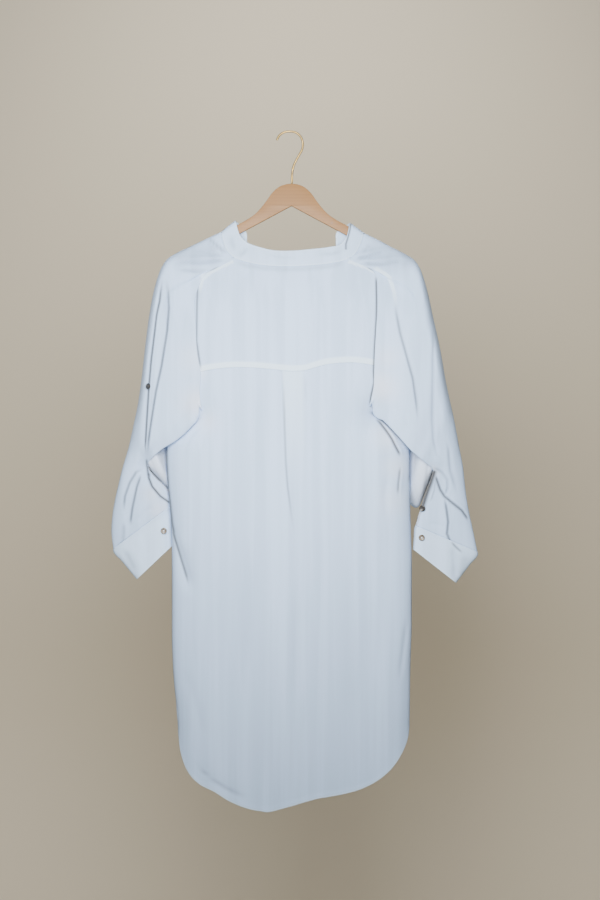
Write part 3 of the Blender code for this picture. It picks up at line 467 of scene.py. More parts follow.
YOKE_CREASES = SLEEVE_EDGES + (
    Crease(((-130, -262), (-134, -330), (-128, -395)), 0.9, 7.0),
    Crease(((-88, -248), (-92, -320), (-90, -390)), 0.7, 8.0, 0.0, 0.3, 0.04),
    Crease(((58, -246), (62, -320), (60, -388)), 0.7, 9.0, 0.0, 0.3, 0.04),
    Crease(((116, -250), (120, -320), (118, -385)), 0.8, 8.0, 0.0, 0.3, 0.04),
    Crease(((-30, -250), (-26, -330), (-30, -400)), 0.5, 10.0, 0.0, 0.3, 0.04),
    # Shadow painted under the collar's neck seam
    Crease(((-103, -228), (-80, -236), (-48, -241), (-5, -243), (37, -241), (72, -237),
            (100, -229)), 0.7, 3.4, 0.0, 0.1, 0.22),
)
FRONT_CREASES = (
    Crease(((-20, -440), (-26, -560), (-18, -700)), 1.2, 8.0),
    Crease(((34, -450), (40, -600), (32, -760)), 1.2, 9.0),
    Crease(((100, -420), (110, -540), (100, -680)), 1.0, 9.0),
    Crease(((-100, -420), (-108, -560), (-96, -700)), 1.0, 9.0),
    Crease(((148, -505), (168, -530), (184, -566)), 2.0, 4.0, 1.0, 0.3, 0.3),
    Crease(((-166, -508), (-184, -534), (-196, -570)), 2.0, 4.0, -1.0, 0.3, 0.3),
    Crease(((-60, -640), (-64, -800), (-56, -960)), 1.0, 10.0),
    Crease(((80, -620), (88, -800), (80, -980)), 1.0, 10.0),
    Crease(((150, -620), (158, -780), (150, -940)), -1.0, 9.0),
    Crease(((-150, -620), (-160, -780), (-152, -940)), -1.0, 9.0),
)
# The collar's creases; the first paints the shadow in the gap between the band and the hanger's
# end.
COLLAR_CREASES = (
    Crease(((104.6, -160), (103, -173), (99.6, -186), (96, -198), (96, -210)), 1.4, 1.4, 1.0,
           0.06, 1.0),
    Crease(((-108, -178), (-106, -196), (-96, -212)), 1.4, 4.0, 0.8, 0.4, 0.2),
    Crease(((-78, -200), (-84, -212), (-96, -220)), 1.4, 3.4, 1.0, 0.4, 0.2),
    Crease(((40, -216), (72, -215), (100, -206)), 0.9, 3.0, 0.0, 0.4, 0.16),
    Crease(((-50, -214), (-20, -220), (20, -222)), 0.8, 3.4, 0.0, 0.4, 0.06),
)
SLEEVE_CREASES_LEFT = (
    Crease(((-225, -254), (-227, -263), (-231, -300), (-236, -323), (-241, -364), (-246, -404),
            (-250, -449), (-254, -507), (-257, -554), (-255, -581)), 3.6, 1.6, -1.4, 0.12, 0.95),
    Crease(((-226, -254), (-219, -270), (-216, -283), (-215, -313), (-218, -353), (-228, -414),
            (-238, -459), (-246, -507), (-253, -553), (-255, -580)), 3.2, 1.6, 1.4, 0.14, 0.8),
    Crease(((-256, -574), (-255, -590), (-253, -608), (-252, -612)), 2.0, 1.6, 0.0, 0.2, 0.85),
    Crease(((-253, -600), (-252, -611), (-246, -626), (-232, -643), (-214, -656)),
           3.0, 1.7, -1.0, 0.06, 1.0),
    Crease(((-255, -585), (-249, -598), (-237, -612), (-218, -627)), 1.0, 1.5, 0.0, 0.1, 0.8),
    Crease(((-258, -593), (-274.5, -601), (-286, -619), (-294.5, -642), (-298, -672)),
           2.2, 1.8, 1.0, 0.25, 0.65),
    Crease(((-264, -602), (-273, -626), (-281.5, -664), (-286, -696)), 2.4, 1.6, 1.2, 0.15, 0.8),
    Crease(((-297, -688), (-298, -710), (-299, -722), (-305, -737)), 1.6, 3.0, 0.6, 0.25, 0.3),
    Crease(((-193, -223), (-150, -223), (-111, -224)), -2.6, 3.0, 0.0, 0.2),
    Crease(((-208, -230), (-158, -231), (-112, -226)), 3.6, 2.6, 0.0, 0.2, 0.42),
    Crease(((-205, -243), (-160, -246), (-142, -240)), 2.0, 3.0, 0.0, 0.3, 0.3),
    Crease(((-150, -184), (-131, -201), (-113, -216)), 3.0, 2.4, 0.8, 0.25, 0.48),
    Crease(((-176, -205), (-150, -212), (-116, -220)), 2.4, 2.6, 0.0, 0.3, 0.36),
    # Shade painted across the top of the shoulder, where it slopes away from the light
    Crease(((-214, -226), (-168, -214), (-122, -206)), 0.4, 16.0, 0.0, 0.2, 0.28),
    Crease(((-205, -234), (-170, -245), (-150, -249)), 1.2, 4.0),
    Crease(((-176, -280), (-178, -330), (-176, -380)), 1.0, 5.0),
    Crease(((-190, -300), (-198, -360), (-190, -430)), 1.2, 7.0),
    Crease(((-205, -460), (-200, -500), (-184, -520)), 1.4, 7.0),
    Crease(((-240, -662), (-256, -668), (-276, -690)), 0.9, 5.0),
)
SLEEVE_FRONT_LEFT = (
    Crease(((-216, -270), (-212, -360), (-222, -470)), 2.0, 6.0, 0.8),
    Crease(((-186, -290), (-190, -380), (-196, -480)), 1.4, 8.0),
    Crease(((-236, -330), (-244, -430), (-250, -520)), 1.8, 5.0, 0.8),
    Crease(((-190, -225), (-150, -226), (-121, -226)), 1.6, 4.0),
    Crease(((-270, -610), (-280, -650), (-286, -700)), 1.8, 3.4, 0.8),
    Crease(((-292, -620), (-300, -660), (-302, -700)), 1.4, 3.4),
)
SLEEVE_CREASES_RIGHT = (
    Crease(((108, -221), (142, -212), (168, -206)), -2.8, 3.0, 0.0, 0.2),
    Crease(((112, -225), (140, -219), (165, -212)), 3.2, 2.2, 0.6, 0.2, 0.46),
    Crease(((112, -228), (148, -227), (203, -220)), -2.4, 2.6, 0.0, 0.2),
    Crease(((122, -233), (160, -234), (200, -227)), 3.2, 2.4, 0.6, 0.2, 0.46),
    Crease(((140, -195), (134, -205), (122, -216)), 1.8, 2.6, 0.0, 0.3, 0.32),
    # Shade painted across the top of the shoulder, where it slopes away from the light
    Crease(((126, -204), (170, -216), (222, -234)), 0.4, 16.0, 0.0, 0.2, 0.28),
    Crease(((181, -296), (184, -320), (191, -357), (203, -400), (213, -436), (219, -478),
            (223, -514)), 2.4, 1.8, -1.2, 0.2, 0.65),
    Crease(((250, -336), (249, -385), (248, -508), (250, -542), (256, -569), (272, -584)),
           1.9, 2.6, 0.7, 0.25, 0.3),
    Crease(((272, -540), (277, -560), (281, -598), (295, -641)), 1.8, 3.0, 0.8, 0.3, 0.3),
    Crease(((253, -603), (257, -616), (263, -632), (270, -643), (287, -657), (301, -668),
            (315, -687)), 3.2, 1.8, 1.6, 0.1, 0.95),
    Crease(((270, -643), (274, -666), (277, -688), (275, -709), (282, -727), (303, -745)),
           2.6, 1.8, 1.0, 0.18, 0.8),
    Crease(((250, -592), (265, -601), (275, -614), (276, -628), (271, -643)), 1.6, 2.2, 0.6,
           0.15, 0.35),
    # The placket slit, with the deep shadow inside it painted in
    Crease(((253, -596), (246.5, -618), (240.5, -635), (234.5, -654), (230, -668)), 1.4, 3.4,
           0.0, 0.04, 1.0),
    Crease(((255, -612), (252, -634), (245, -655)), 1.0, 1.3, 0.0, 0.2, 0.35),
    Crease(((160, -300), (166, -380), (160, -450)), 1.2, 7.0),
    Crease(((262, -380), (274, -450), (286, -520)), 1.5, 4.0, 0.5, 0.25, 0.12),
    Crease(((240, -690), (262, -694), (274, -700)), 0.8, 4.0),
    Crease(((176, -480), (196, -500), (214, -530)), 1.2, 7.0),
)
SLEEVE_FRONT_RIGHT = (
    Crease(((205, -270), (206, -360), (214, -470)), 2.0, 6.0, 0.8),
    Crease(((176, -290), (182, -380), (190, -500)), 1.4, 8.0),
    Crease(((238, -330), (246, -430), (254, -520)), 1.8, 5.0, 0.8),
    Crease(((121, -226), (150, -226), (188, -222)), 1.6, 4.0),
    Crease(((204, -549), (222, -568), (240, -583), (252, -594)), 0.5, 1.8, 0.0, 0.1, 0.6),
    Crease(((262, -615), (280, -650), (300, -690)), 1.8, 3.4, 0.8),
    Crease(((222, -600), (226, -625), (230, -650)), 1.2, 5.0),
)
CUFF_CREASES = (
    Crease(((284, -727), (288, -752), (290, -792)), 2.6, 5.0, 1.8, 0.3, 0.14),
    Crease(((306, -748), (302, -765), (297, -785)), 0.6, 9.0, 0.0, 0.2, 0.1),
    Crease(((281, -722), (290, -732), (303, -744)), 1.2, 1.5, 0.5, 0.3, 0.75),
    Crease(((-300, -735), (-290, -752), (-276, -780)), 1.4, 5.0, 0.8, 0.3, 0.12),
    Crease(((-262, -702), (-258, -730), (-254, -752)), 0.7, 6.0),
)
YOKE_BANDS = (
    Band(((-103, -229), (-128, -241), (-146, -251), (-158, -263), (-163, -290)), taper=0.25),
    Band(((100, -229), (128, -238), (147, -247)), taper=0.05),
)
SLEEVE_BANDS_LEFT = (
    Band(((-156, -250), (-157, -280), (-158, -300)), taper=0.5),
)
SLEEVE_BANDS_RIGHT = (
    Band(((146, -241), (160, -248), (172, -257), (181, -285), (184, -318)), taper=0.5),
)
# Patches of painted light: a pale warm colour that lightens the cloth about the underarms and on
# the sleeves
SLEEVE_PAINTED_LIGHT_LEFT = (PaintedLightPatch(-164, -480, 26, 0.7), PaintedLightPatch(-228, -665, 20, 0.6),
                     PaintedLightPatch(-246, -640, 16, 0.4), PaintedLightPatch(-172, -400, 26, 0.25))
SLEEVE_PAINTED_LIGHT_RIGHT = (PaintedLightPatch(158, -450, 26, 0.6), PaintedLightPatch(222, -635, 16, 0.5),
                      PaintedLightPatch(247, -600, 10, 0.8), PaintedLightPatch(168, -400, 22, 0.3))
BACK_PAINTED_LIGHT = (PaintedLightPatch(-150, -510, 20, 0.4), PaintedLightPatch(172, -535, 26, 0.5), PaintedLightPatch(186, -590, 22, 0.4),
              PaintedLightPatch(180, -650, 26, 0.3), PaintedLightPatch(-160, -425, 10, 0.4))


def smooth(value: Array | float) -> Array:
    """Ease a value from 0 at 0 to 1 at 1."""
    value = np.clip(value, 0.0, 1.0)
    return value * value * (3.0 - 2.0 * value)


def dome(value: Array | float) -> Array:
    """Quarter circle from 0 at 0 to 1 at 1."""
    return np.sqrt(1.0 - (1.0 - np.clip(value, 0.0, 1.0)) ** 2)


def edged(inside: Array, soft: float = EDGE_SOFT) -> Array:
    """1 inside an edge, easing to 0 outside it, from the distances inside it."""
    return smooth((inside + soft * 0.5) / soft)


def run_lengths(points: Array) -> Array:
    """Distance along a run of points."""
    steps = np.linalg.norm(np.diff(points, axis=0), axis=1)
    return np.concatenate(([0.0], np.cumsum(steps)))


def curve_through(stations: Array, rows: Array, at: Array) -> Array:
    """Smooth curve through the rows of a table.

    Args:
        stations: place of each row along the curve.
        rows: the rows' values.
        at: places to read.

    Returns:
        One row of values for each place read.
    """
    stations = np.asarray(stations, float)
    rows = np.asarray(rows, float)
    at = np.asarray(at, float)
    slopes = np.gradient(rows, stations, axis=0)
    place = np.clip(np.searchsorted(stations, at, side="right") - 1, 0, len(stations) - 2)
    width = (stations[place + 1] - stations[place])[:, None]
    t = (at - stations[place])[:, None] / width
    return ((2 * t ** 3 - 3 * t ** 2 + 1) * rows[place]
            + (t ** 3 - 2 * t ** 2 + t) * width * slopes[place]
            + (-2 * t ** 3 + 3 * t ** 2) * rows[place + 1]
            + (t ** 3 - t ** 2) * width * slopes[place + 1])


def along(points: list, fractions: Array) -> Array:
    """Read a smooth curve through points.

    Args:
        points: the points.
        fractions: where to read, from 0 to 1.

    Returns:
        One point for each fraction.
    """
    points = np.asarray(points, float)
    runs = run_lengths(points)
    return curve_through(runs, points, np.asarray(fractions, float) * runs[-1])


def crowded(count: int, crowd: float) -> Array:
    """Fractions from 0 to 1, crowded towards both ends."""
    even = np.linspace(0.0, 1.0, count)
    return (1.0 - crowd) * even + crowd * 0.5 * (1.0 - np.cos(math.pi * even))


def mean_stations(grid: Array) -> Array:
    """Mean distance of each row of a grid from its first row."""
    steps = np.linalg.norm(np.diff(grid, axis=0), axis=-1).mean(axis=1)
    return np.concatenate(([0.0], np.cumsum(steps)))


def refine(grid: Array, down: Array, across: Array) -> Array:
    """Smooth finer grid through the points of a coarse one.

    Args:
        grid: rows by columns of points.
        down: places of the new rows, as mean distance from the first row.
        across: places of the new columns, as mean distance from the first column.

    Returns:
        The finer grid.
    """
    depth = grid.shape[2]
    columns_at = mean_stations(np.swapaxes(grid, 0, 1))
    tall = curve_through(mean_stations(grid), grid.reshape(len(grid), -1), down)
    wide = np.swapaxes(tall.reshape(len(down), grid.shape[1], depth), 0, 1)
    wide = curve_through(columns_at, wide.reshape(len(wide), -1), across)
    return np.swapaxes(wide.reshape(len(across), len(down), depth), 0, 1)


def zoned(*zones: tuple[float, float]) -> Array:
    """Space places from 0 along a run of zones.

    Args:
        *zones: each zone's length and step.

    Returns:
        The places.
    """
    at = [np.zeros(1)]
    for length, step in zones:
        at.append(at[-1][-1] + np.linspace(0.0, length, max(1, round(length / step)) + 1)[1:])
    return np.concatenate(at)


def shoulder_height(x: Array) -> Array:
    """Height of the cloth's shoulder line over x."""
    table = np.asarray(SHOULDER, float)
    return np.interp(x, table[:, 0], table[:, 1])


def edge_x(edge: Array, z: Array) -> Array:
    """x of an edge that runs downwards, at height z."""
    table = np.asarray(edge, float)[::-1]
    return np.interp(z, table[:, 1], table[:, 0])


def edge_rows(edge: Array, heights: Array) -> Array:
    """Points of an edge that runs downwards, at the given heights."""
    return np.stack([edge_x(edge, heights), heights], axis=-1)


def fold_depth(folds: list, x: Array, z: Array) -> Array:
    """Work out the large soft folds at x, z.

    Args:
        folds: the folds.
        x: places' x.
        z: places' z.

    Returns:
        Depth, positive towards the middle.
    """
    depth = np.zeros_like(x)
    for top_x, foot_x, top_z, foot_z, half_width, sink in folds:
        fall = (top_z - z) / (top_z - foot_z)
        centre = top_x + (foot_x - top_x) * fall
        ends = smooth(fall / FOLD_TAPER) * smooth((1.0 - fall) / FOLD_TAPER)
        depth = depth + sink * ends * np.exp(-FOLD_SHARPNESS * ((x - centre) / half_width) ** 2)
    return depth


def nearest_run(points: tuple, x: Array, z: Array) -> tuple[Array, Array]:
    """Where x, z lie beside a run of points.

    Args:
        points: x and z along the run.
        x: places' x.
        z: places' z.

    Returns:
        Distance, positive on the run's left, and the share of its length passed.
    """
    line = np.asarray(points, float)
    runs = run_lengths(line)
    nearest = np.full(x.shape, np.inf)
    signed = np.zeros_like(x)
    share = np.zeros_like(x)
    for index in range(len(line) - 1):
        start, step = line[index], line[index + 1] - line[index]
        t = np.clip(((x - start[0]) * step[0] + (z - start[1]) * step[1]) / (step @ step), 0, 1)
        across_x, across_z = x - start[0] - t * step[0], z - start[1] - t * step[1]
        away = np.hypot(across_x, across_z)
        closer = away < nearest
        turn = step[0] * across_z - step[1] * across_x
        signed = np.where(closer, np.where(turn < 0.0, -away, away), signed)
        share = np.where(closer, (runs[index] + t * (runs[index + 1] - runs[index])) / runs[-1],
                         share)
        nearest = np.where(closer, away, nearest)
    return signed, share


def crease_marks(creases: tuple[Crease, ...], x: Array,
                 z: Array) -> tuple[Array, Array]:
    """Depth and painted shade of the creases at x, z.

    Args:
        creases: the creases.
        x: places' x.
        z: places' z.

    Returns:
        Depth, positive towards the middle, and painted shade from 0 to 1.
    """
    sink = np.zeros_like(x)
    dark = np.zeros_like(x)
    for crease in creases:
        away, share = nearest_run(crease.points, x, z)
        ends = smooth(share / crease.taper) * smooth((1.0 - share) / crease.taper)
        reach = np.where((share <= 0.0) | (share >= 1.0), 0.0, ends)
        groove = crease.depth * np.exp(-(away / crease.half) ** 2)
        rise = np.exp(-((away / crease.half - LIP_PLACE) / LIP_HALF) ** 2)
        sink = sink + reach * (groove - crease.lip * rise)
        # Shade painted into the crease's core, in place of the shade deep in the fold
        core = np.exp(-(away / (crease.half * PAINTED_SHADE_WIDTH)) ** 2)
        dark = np.maximum(dark, reach * crease.dark * core)
    return sink, dark


def band_cover(bands: tuple[Band, ...], x: Array,
               z: Array) -> tuple[Array, Array]:
    """Work out what sewn bands give the cloth at x, z.

    Args:
        bands: the bands.
        x: places' x.
        z: places' z.

    Returns:
        Lift, and paleness from 0 to 1.
    """
    lift = np.zeros_like(x)
    pale = np.zeros_like(x)
    for band in bands:
        away, share = nearest_run(band.points, x, z)
        inside = edged(band.half - np.abs(away)) * smooth((1.0 - share) / band.taper)
        inside = np.where((share <= 0.0) | (share >= 1.0), 0.0, inside)
        lift = np.maximum(lift, band.lift * inside)
        pale = np.maximum(pale, inside)
    return lift, pale


def painted_light_patches(light_patches: tuple[PaintedLightPatch, ...], x: Array, z: Array) -> Array:
    """Work out the patches of painted light at x, z.

    Args:
        light_patches: the patches.
        x: places' x.
        z: places' z.

    Returns:
        Strength from 0 to 1.
    """
    total = np.zeros_like(x)
    for tint in light_patches:
        away = np.hypot(x - tint.x, z - tint.z) / tint.radius
        total = np.maximum(total, tint.strength * np.exp(-away ** 2))
    return total


def ripple(x: Array, z: Array) -> Array:
    """Work out the shallow, near-vertical ripples of light crepe.

    Args:
        x: places' x.
        z: places' z.

    Returns:
        Depth, positive towards the middle.
    """
    slope, sway, turns = RIPPLE_DRIFT
    drift = slope * z + sway * np.sin(turns * z)
    waves = np.zeros_like(x)
    for height, across, share, start in RIPPLES:
        waves = waves + height * np.sin(across * x + share * drift + start)
    middle, reach, down, aside = RIPPLE_SWELL
    return (middle + reach * np.sin(down * z + aside * x)) * waves


def hung_half(drop: Array) -> Array:
    """Half depth of cloth at a drop below the hanger's arms."""
    drop = np.maximum(drop, 0.0)
    return ARM_HALF * dome(drop / ARM_ROUND) + (BODY_HALF - ARM_HALF) * smooth(drop / BODY_DROP)


def side_distance(x: Array, z: Array) -> Array:
    """Measure in the plan how far x, z are from the side seams.

    Args:
        x: places' x.
        z: places' z.

    Returns:
        Distance to the nearer seam.
    """
    left = np.abs(nearest_run(tuple(SIDE_LEFT) + HEM_LEFT_RUN, x, z)[0])
    right = np.abs(nearest_run(tuple(SIDE_RIGHT) + HEM_RIGHT_RUN, x, z)[0])
    return np.minimum(left, right)


def body_half(x: Array, z: Array, raised: float = 0.0) -> Array:
    """Work out the half depth of the body, which closes to its side seams.

    Args:
        x: places' x.
        z: places' z.
        raised: how much lower the shoulder line is taken to be.

    Returns:
        Half the depth at each place.
    """
    hung = hung_half(shoulder_height(x) - z - raised)
    closing = dome(side_distance(x, z) / SIDE_ROUND)
    return np.maximum(hung * closing, np.where(closing < 1.0, SIDE_SEAM_HALF, 0.0))


def pleat_folds(z: Array) -> list[Array]:
    """Left fold, right fold and stand of the box pleat at height z."""
    table = np.asarray(PLEAT, float)[::-1]
    return [np.interp(z, table[:, 0], table[:, column]) for column in (1, 2, 3)]


def pleat_inside(x: Array, z: Array) -> Array:
    """Tell where the box pleat is.

    Args:
        x: places' x.
        z: places' z.

    Returns:
        1 on the box pleat, easing to 0 beside it.
    """
    left, right, _stand = pleat_folds(z)
    return smooth((x - left) / PLEAT_STEP + 1.0) * smooth(
        (right - x) / PLEAT_SOFT + PLEAT_SOFT_START)


def yoke_seam_z(x: Array) -> Array:
    """Height of the yoke seam over x."""
    seam = np.asarray(YOKE_SEAM, float)
    return curve_through(seam[:, 0], seam[:, 1:], x)[:, 0]


def panel_plan(left: Array, right: Array, top: Array, foot: Array,
               columns: Array, top_fade: float | Array,
               foot_fade: float) -> Array:
    """Plan of a panel between two side edges, bent to its top and foot curves.

    Args:
        left: x, z of the left edge, row by row.
        right: x, z of the right edge.
        top: x, z of the top edge, column by column.
        foot: x, z of the foot edge.
        columns: each row's column shares.
        top_fade: how fast the top's bend dies out downwards.
        foot_fade: how fast the foot's bend dies out upwards.

    Returns:
        Grid of x, z.
    """
    heights = left[:, 1]
    t = ((heights[0] - heights) / (heights[0] - heights[-1]))[:, None, None]
    plan = left[:, None, :] + (right - left)[:, None, :] * columns[:, :, None]
    top_bend = (top - plan[0])[None]
    foot_bend = (foot - plan[-1])[None]
    return plan + top_bend * (1.0 - t) ** top_fade + foot_bend * t ** foot_fade


def armhole_line(side: Side, corner: Array) -> Array:
    """Edge line of a sleeve from its corner at the neck seam down to the underarm."""
    table = side.pick(ARMHOLE_LEFT, ARMHOLE_RIGHT)
    return np.concatenate([corner[None], np.asarray(table, float)[1:]])


def body_edge(side: Side, corner: Array) -> Array:
    """Lay the edge of the body's cloth: beneath the sleeve, then down the side seam.

    Args:
        side: which side.
        corner: x, z of the yoke's or front's corner at the neck.

    Returns:
        x, z down the edge.
    """
    line = armhole_line(side, corner)
    runs = run_lengths(line)
    heading = np.gradient(line, runs, axis=0)
    heading /= np.linalg.norm(heading, axis=1, keepdims=True)
    outward = side.value * np.stack([-heading[:, 1], heading[:, 0]], axis=-1)
    started = smooth((runs - LAP_START) / LAP_RAMP)
    last = UNDERARM_LAP[side.value]
    reach = (last + (LAP - last) * smooth((runs[-1] - runs) / LAP_FADE)) * started
    seam = side.pick(SIDE_LEFT, SIDE_RIGHT)
    under = line + outward * reach[:, None]
    under[0] = line[0]
    return np.concatenate([under, np.asarray(seam, float)])


def neck_back() -> Array:
    """Lay the collar band across the back.

    Returns:
        Its top edge x, z and neck seam x, z, left to right.
    """
    rows = np.asarray(COLLAR, float)
    runs = run_lengths(rows[:, 2:])
    corner = NECK_RUNS[-1]
    middle = np.linspace(corner, runs[-1] - corner, BACK_NECK_STEPS + 1)
    stations = np.concatenate([NECK_RUNS[:-1], middle, runs[-1] - np.array(NECK_RUNS[-2::-1])])
    return curve_through(runs, rows, stations)


def neck_front(side: Side) -> Array:
    """Lay the collar band down one side of the V, to the V's point.

    Args:
        side: which side.

    Returns:
        Its top edge x, z and neck seam x, z, downwards.
    """
    shoulder = np.asarray(side.pick(COLLAR[0], COLLAR[-1]), float)
    rows = np.asarray(COLLAR_FRONT, float) * np.array([side.value, 1.0, side.value, 1.0])
    rows = np.concatenate([shoulder[None], rows])
    runs = run_lengths(rows[:, 2:])
    lower = np.linspace(NECK_RUNS[-1], runs[-1], FRONT_NECK_STEPS + 1)
    return curve_through(runs, rows, np.concatenate([NECK_RUNS[:-1], lower]))


def pleated_columns(left_x: float, right_x: float, z: float) -> Array:
    """Share out one row of the back panel, with columns at the pleat's folds.

    Args:
        left_x: x of the row's left end.
        right_x: x of its right end.
        z: its height.

    Returns:
        Shares of the width, from 0 to 1.
    """
    pleat_left, pleat_right, _stand = pleat_folds(z)
    width = right_x - left_x
    first = (pleat_left - PLEAT_STEP - left_x) / width
    last = (pleat_right + PLEAT_STEP - left_x) / width
    folds = np.linspace((pleat_left - left_x) / width, (pleat_right - left_x) / width,
                        PLEAT_COLUMNS)
    outer = 2.0 * crowded(2 * PANEL_STEPS + 1, BACK_CROWD)[:PANEL_STEPS + 1]
    return np.concatenate([first * outer, folds, 1.0 - (1.0 - last) * outer[::-1]])


def panel_rows(side: Side, top_z: float, foot_z: float, rows: tuple[int, int]) -> Array:
    """Choose a panel's control rows down one edge, close at the underarm.

    Args:
        side: which side.
        top_z: height of the first row.
        foot_z: height of the last row.
        rows: rows over and under the underarm.

    Returns:
        The heights, downwards.
    """
    table = side.pick(ARMHOLE_LEFT, ARMHOLE_RIGHT)
    underarm = table[-1][1] + UNDERARM_ROWS
    upper = np.linspace(top_z, underarm[0], rows[0] + 1)[:-1]
    lower = np.linspace(underarm[-1], foot_z, rows[1] + 1)[1:]
    return np.concatenate([upper, underarm, lower])


def yoke_foot() -> Array:
    """Lay the yoke seam, which the yoke and the back panel share.

    Returns:
        x, z from left to right.
    """
    neck = neck_back()[:, 2:]
    left = edge_x(body_edge(Side.LEFT, neck[CORNER]), YOKE_FOOT_Z)
    right = edge_x(body_edge(Side.RIGHT, neck[-1 - CORNER]), YOKE_FOOT_Z)
    x = left + (right - left) * pleated_columns(left, right, YOKE_FOOT_Z)
    return np.stack([x, yoke_seam_z(x)], axis=-1)


def with_shoulders(neck: Array, left_line: Array,
                   right_line: Array) -> Array:
    """Lay the top edge of a panel: up its left armhole, along its neck, down the right.

    Args:
        neck: x, z along the neck seam.
        left_line: x, z down the panel's left edge.
        right_line: x, z down its right edge.

    Returns:
        x, z from left to right.
    """
    left = np.linspace(YOKE_TOP_Z, neck[0, 1], SHOULDER_ROWS + 1)[:-1]
    right = np.linspace(neck[-1, 1], YOKE_TOP_Z, SHOULDER_ROWS + 1)[1:]
    return np.concatenate([edge_rows(left_line, left), neck, edge_rows(right_line, right)])


def first_line(side: Side, neck: Array) -> Array:
    """Plan of a sleeve's first ring over one side: its neck seam, then its armhole edge."""
    lower = along(armhole_line(side, neck[CORNER]), ARMHOLE_SPREAD)
    return np.concatenate([neck[:CORNER + 1], lower])


def ring_line(outer: Array, fold: Array) -> Array:
    """Plain plan of one side of a ring, from the outer edge to the fold."""
    return outer + (fold - outer) * RING_SPREAD[:, None]


def side_line(outer: Array, fold: Array, first: Array, settled: Array,
              u: float) -> Array:
    """Plan of one side of a ring, led over from the first ring near the neck.

    Args:
        outer: x, z of the ring's outer edge.
        fold: x, z of its fold.
        first: the first ring's side.
        settled: the side where the first ring's shape has died out.
        u: the ring's station.

    Returns:
        x, z of the side's points.
    """
    if u >= START_END:
        return ring_line(outer, fold)
    share = u / START_END
    line = first * (1.0 - share) + settled * share
    outer_shift = (outer - line[0]) * (1.0 - RING_SPREAD)[:, None]
    fold_shift = (fold - line[-1]) * RING_SPREAD[:, None]
    return line + outer_shift + fold_shift


def side_depth(line: Array, lift: Array, half: float, tuck: float,
               reach: float, u: float) -> Array:
    """Depth of one side of a ring: the hung body's at the neck, then the tube's own.

    Args:
        line: x, z of the side's points, from the outer edge to the fold.
        lift: how far each point stands over the body's cloth.
        half: the tube's half depth.
        tuck: how deep the fold is tucked in.
        reach: distance from the fold over which it is tucked.
        u: the ring's station.

    Returns:
        Each point's depth.
    """
    blend = smooth(u / TUBE_FROM)
    run = run_lengths(line)
    own = half * dome(run / (ARM_ROUND + (TUBE_ROUND - ARM_ROUND) * blend))
    raised = shoulder_height(line[0, 0]) - line[0, 1]
    hung = body_half(line[:, 0], line[:, 1], raised) + lift
    tucked = 1.0 - smooth((run[-1] - run) / reach)
    return hung * (1.0 - blend) + own * blend - tuck * tucked * blend


def half_underside(end: Array, centre: Array, u: float,
                   beside: float) -> list[Array]:
    """Points of a ring's underside from one fold up to the inner edge.

    Args:
        end: the fold's point.
        centre: the inner edge's point.
        u: the ring's station.
        beside: how far the underside is opened beside the body, from 0 to 1.

    Returns:
        The points between the two.
    """
    settled = smooth((u - UNDERSIDE_FROM) / UNDERSIDE_BLEND)
    points = []
    for plan_share, first_share, settled_share, beside_share in UNDERSIDE:
        depth_share = first_share + (settled_share - first_share) * settled
        depth_share += (beside_share - depth_share) * beside
        points.append(end + (centre - end) * np.array([plan_share, depth_share, plan_share]))
    return points


def sleeve_control(side: Side) -> Array:
    """Lay a sleeve's control rings, from the neck and armhole to the cuff seam.

    Args:
        side: which side.

    Returns:
        Rings by points.
    """
    table = np.asarray(side.pick(SLEEVE_LEFT, SLEEVE_RIGHT), float)
    back_neck = neck_back()[::-side.value, 2:]
    firsts = [first_line(side, back_neck), first_line(side, neck_front(side)[:, 2:])]
    firsts[0][-1] = table[0, 3:5]
    firsts[1][-1] = table[0, 5:7]
    lifts = [LAP_LIFT * smooth((run_lengths(line) - NECK_RUNS[-1] + LIFT_START) / LIFT_RAMP)
             for line in firsts]
    settled = curve_through(table[:, 0], table[:, 1:], [START_END])[0]
    rings = []
    for u in SLEEVE_STATIONS:
        row = curve_through(table[:, 0], table[:, 1:], [u])[0]
        outer, inner, middle, half = row[0:2], row[6:8], row[8], row[9]
        sides = []
        for facing, first, lift, place, tuck in (
                (-1.0, firsts[0], lifts[0], 2, BACK_TUCK[side.value]),
                (1.0, firsts[1], lifts[1], 4, 0.0)):
            end = ring_line(settled[0:2], settled[place:place + 2])
            line = side_line(outer, row[place:place + 2], first, end, u)
            y = middle + facing * side_depth(line, lift, half, tuck, FOLD_TUCK[side.value], u)
            sides.append(np.insert(line, 1, y, axis=1))
        beside = float(smooth((u - GAP_FROM) / GAP_BLEND))
        beside *= 1.0 - float(smooth((u - GAP_TO) / GAP_CLOSE))
        centre = np.array([inner[0], middle - GAP_RISE * half * beside, inner[1]])
        back_under = half_underside(sides[0][-1], centre, u, 0.0)
        front_under = half_underside(sides[1][-1], centre, u, beside)
        under = np.array(back_under + [centre] + front_under[::-1])
        rings.append(np.concatenate([sides[0], under, sides[1][::-1]]))
    return np.stack(rings)


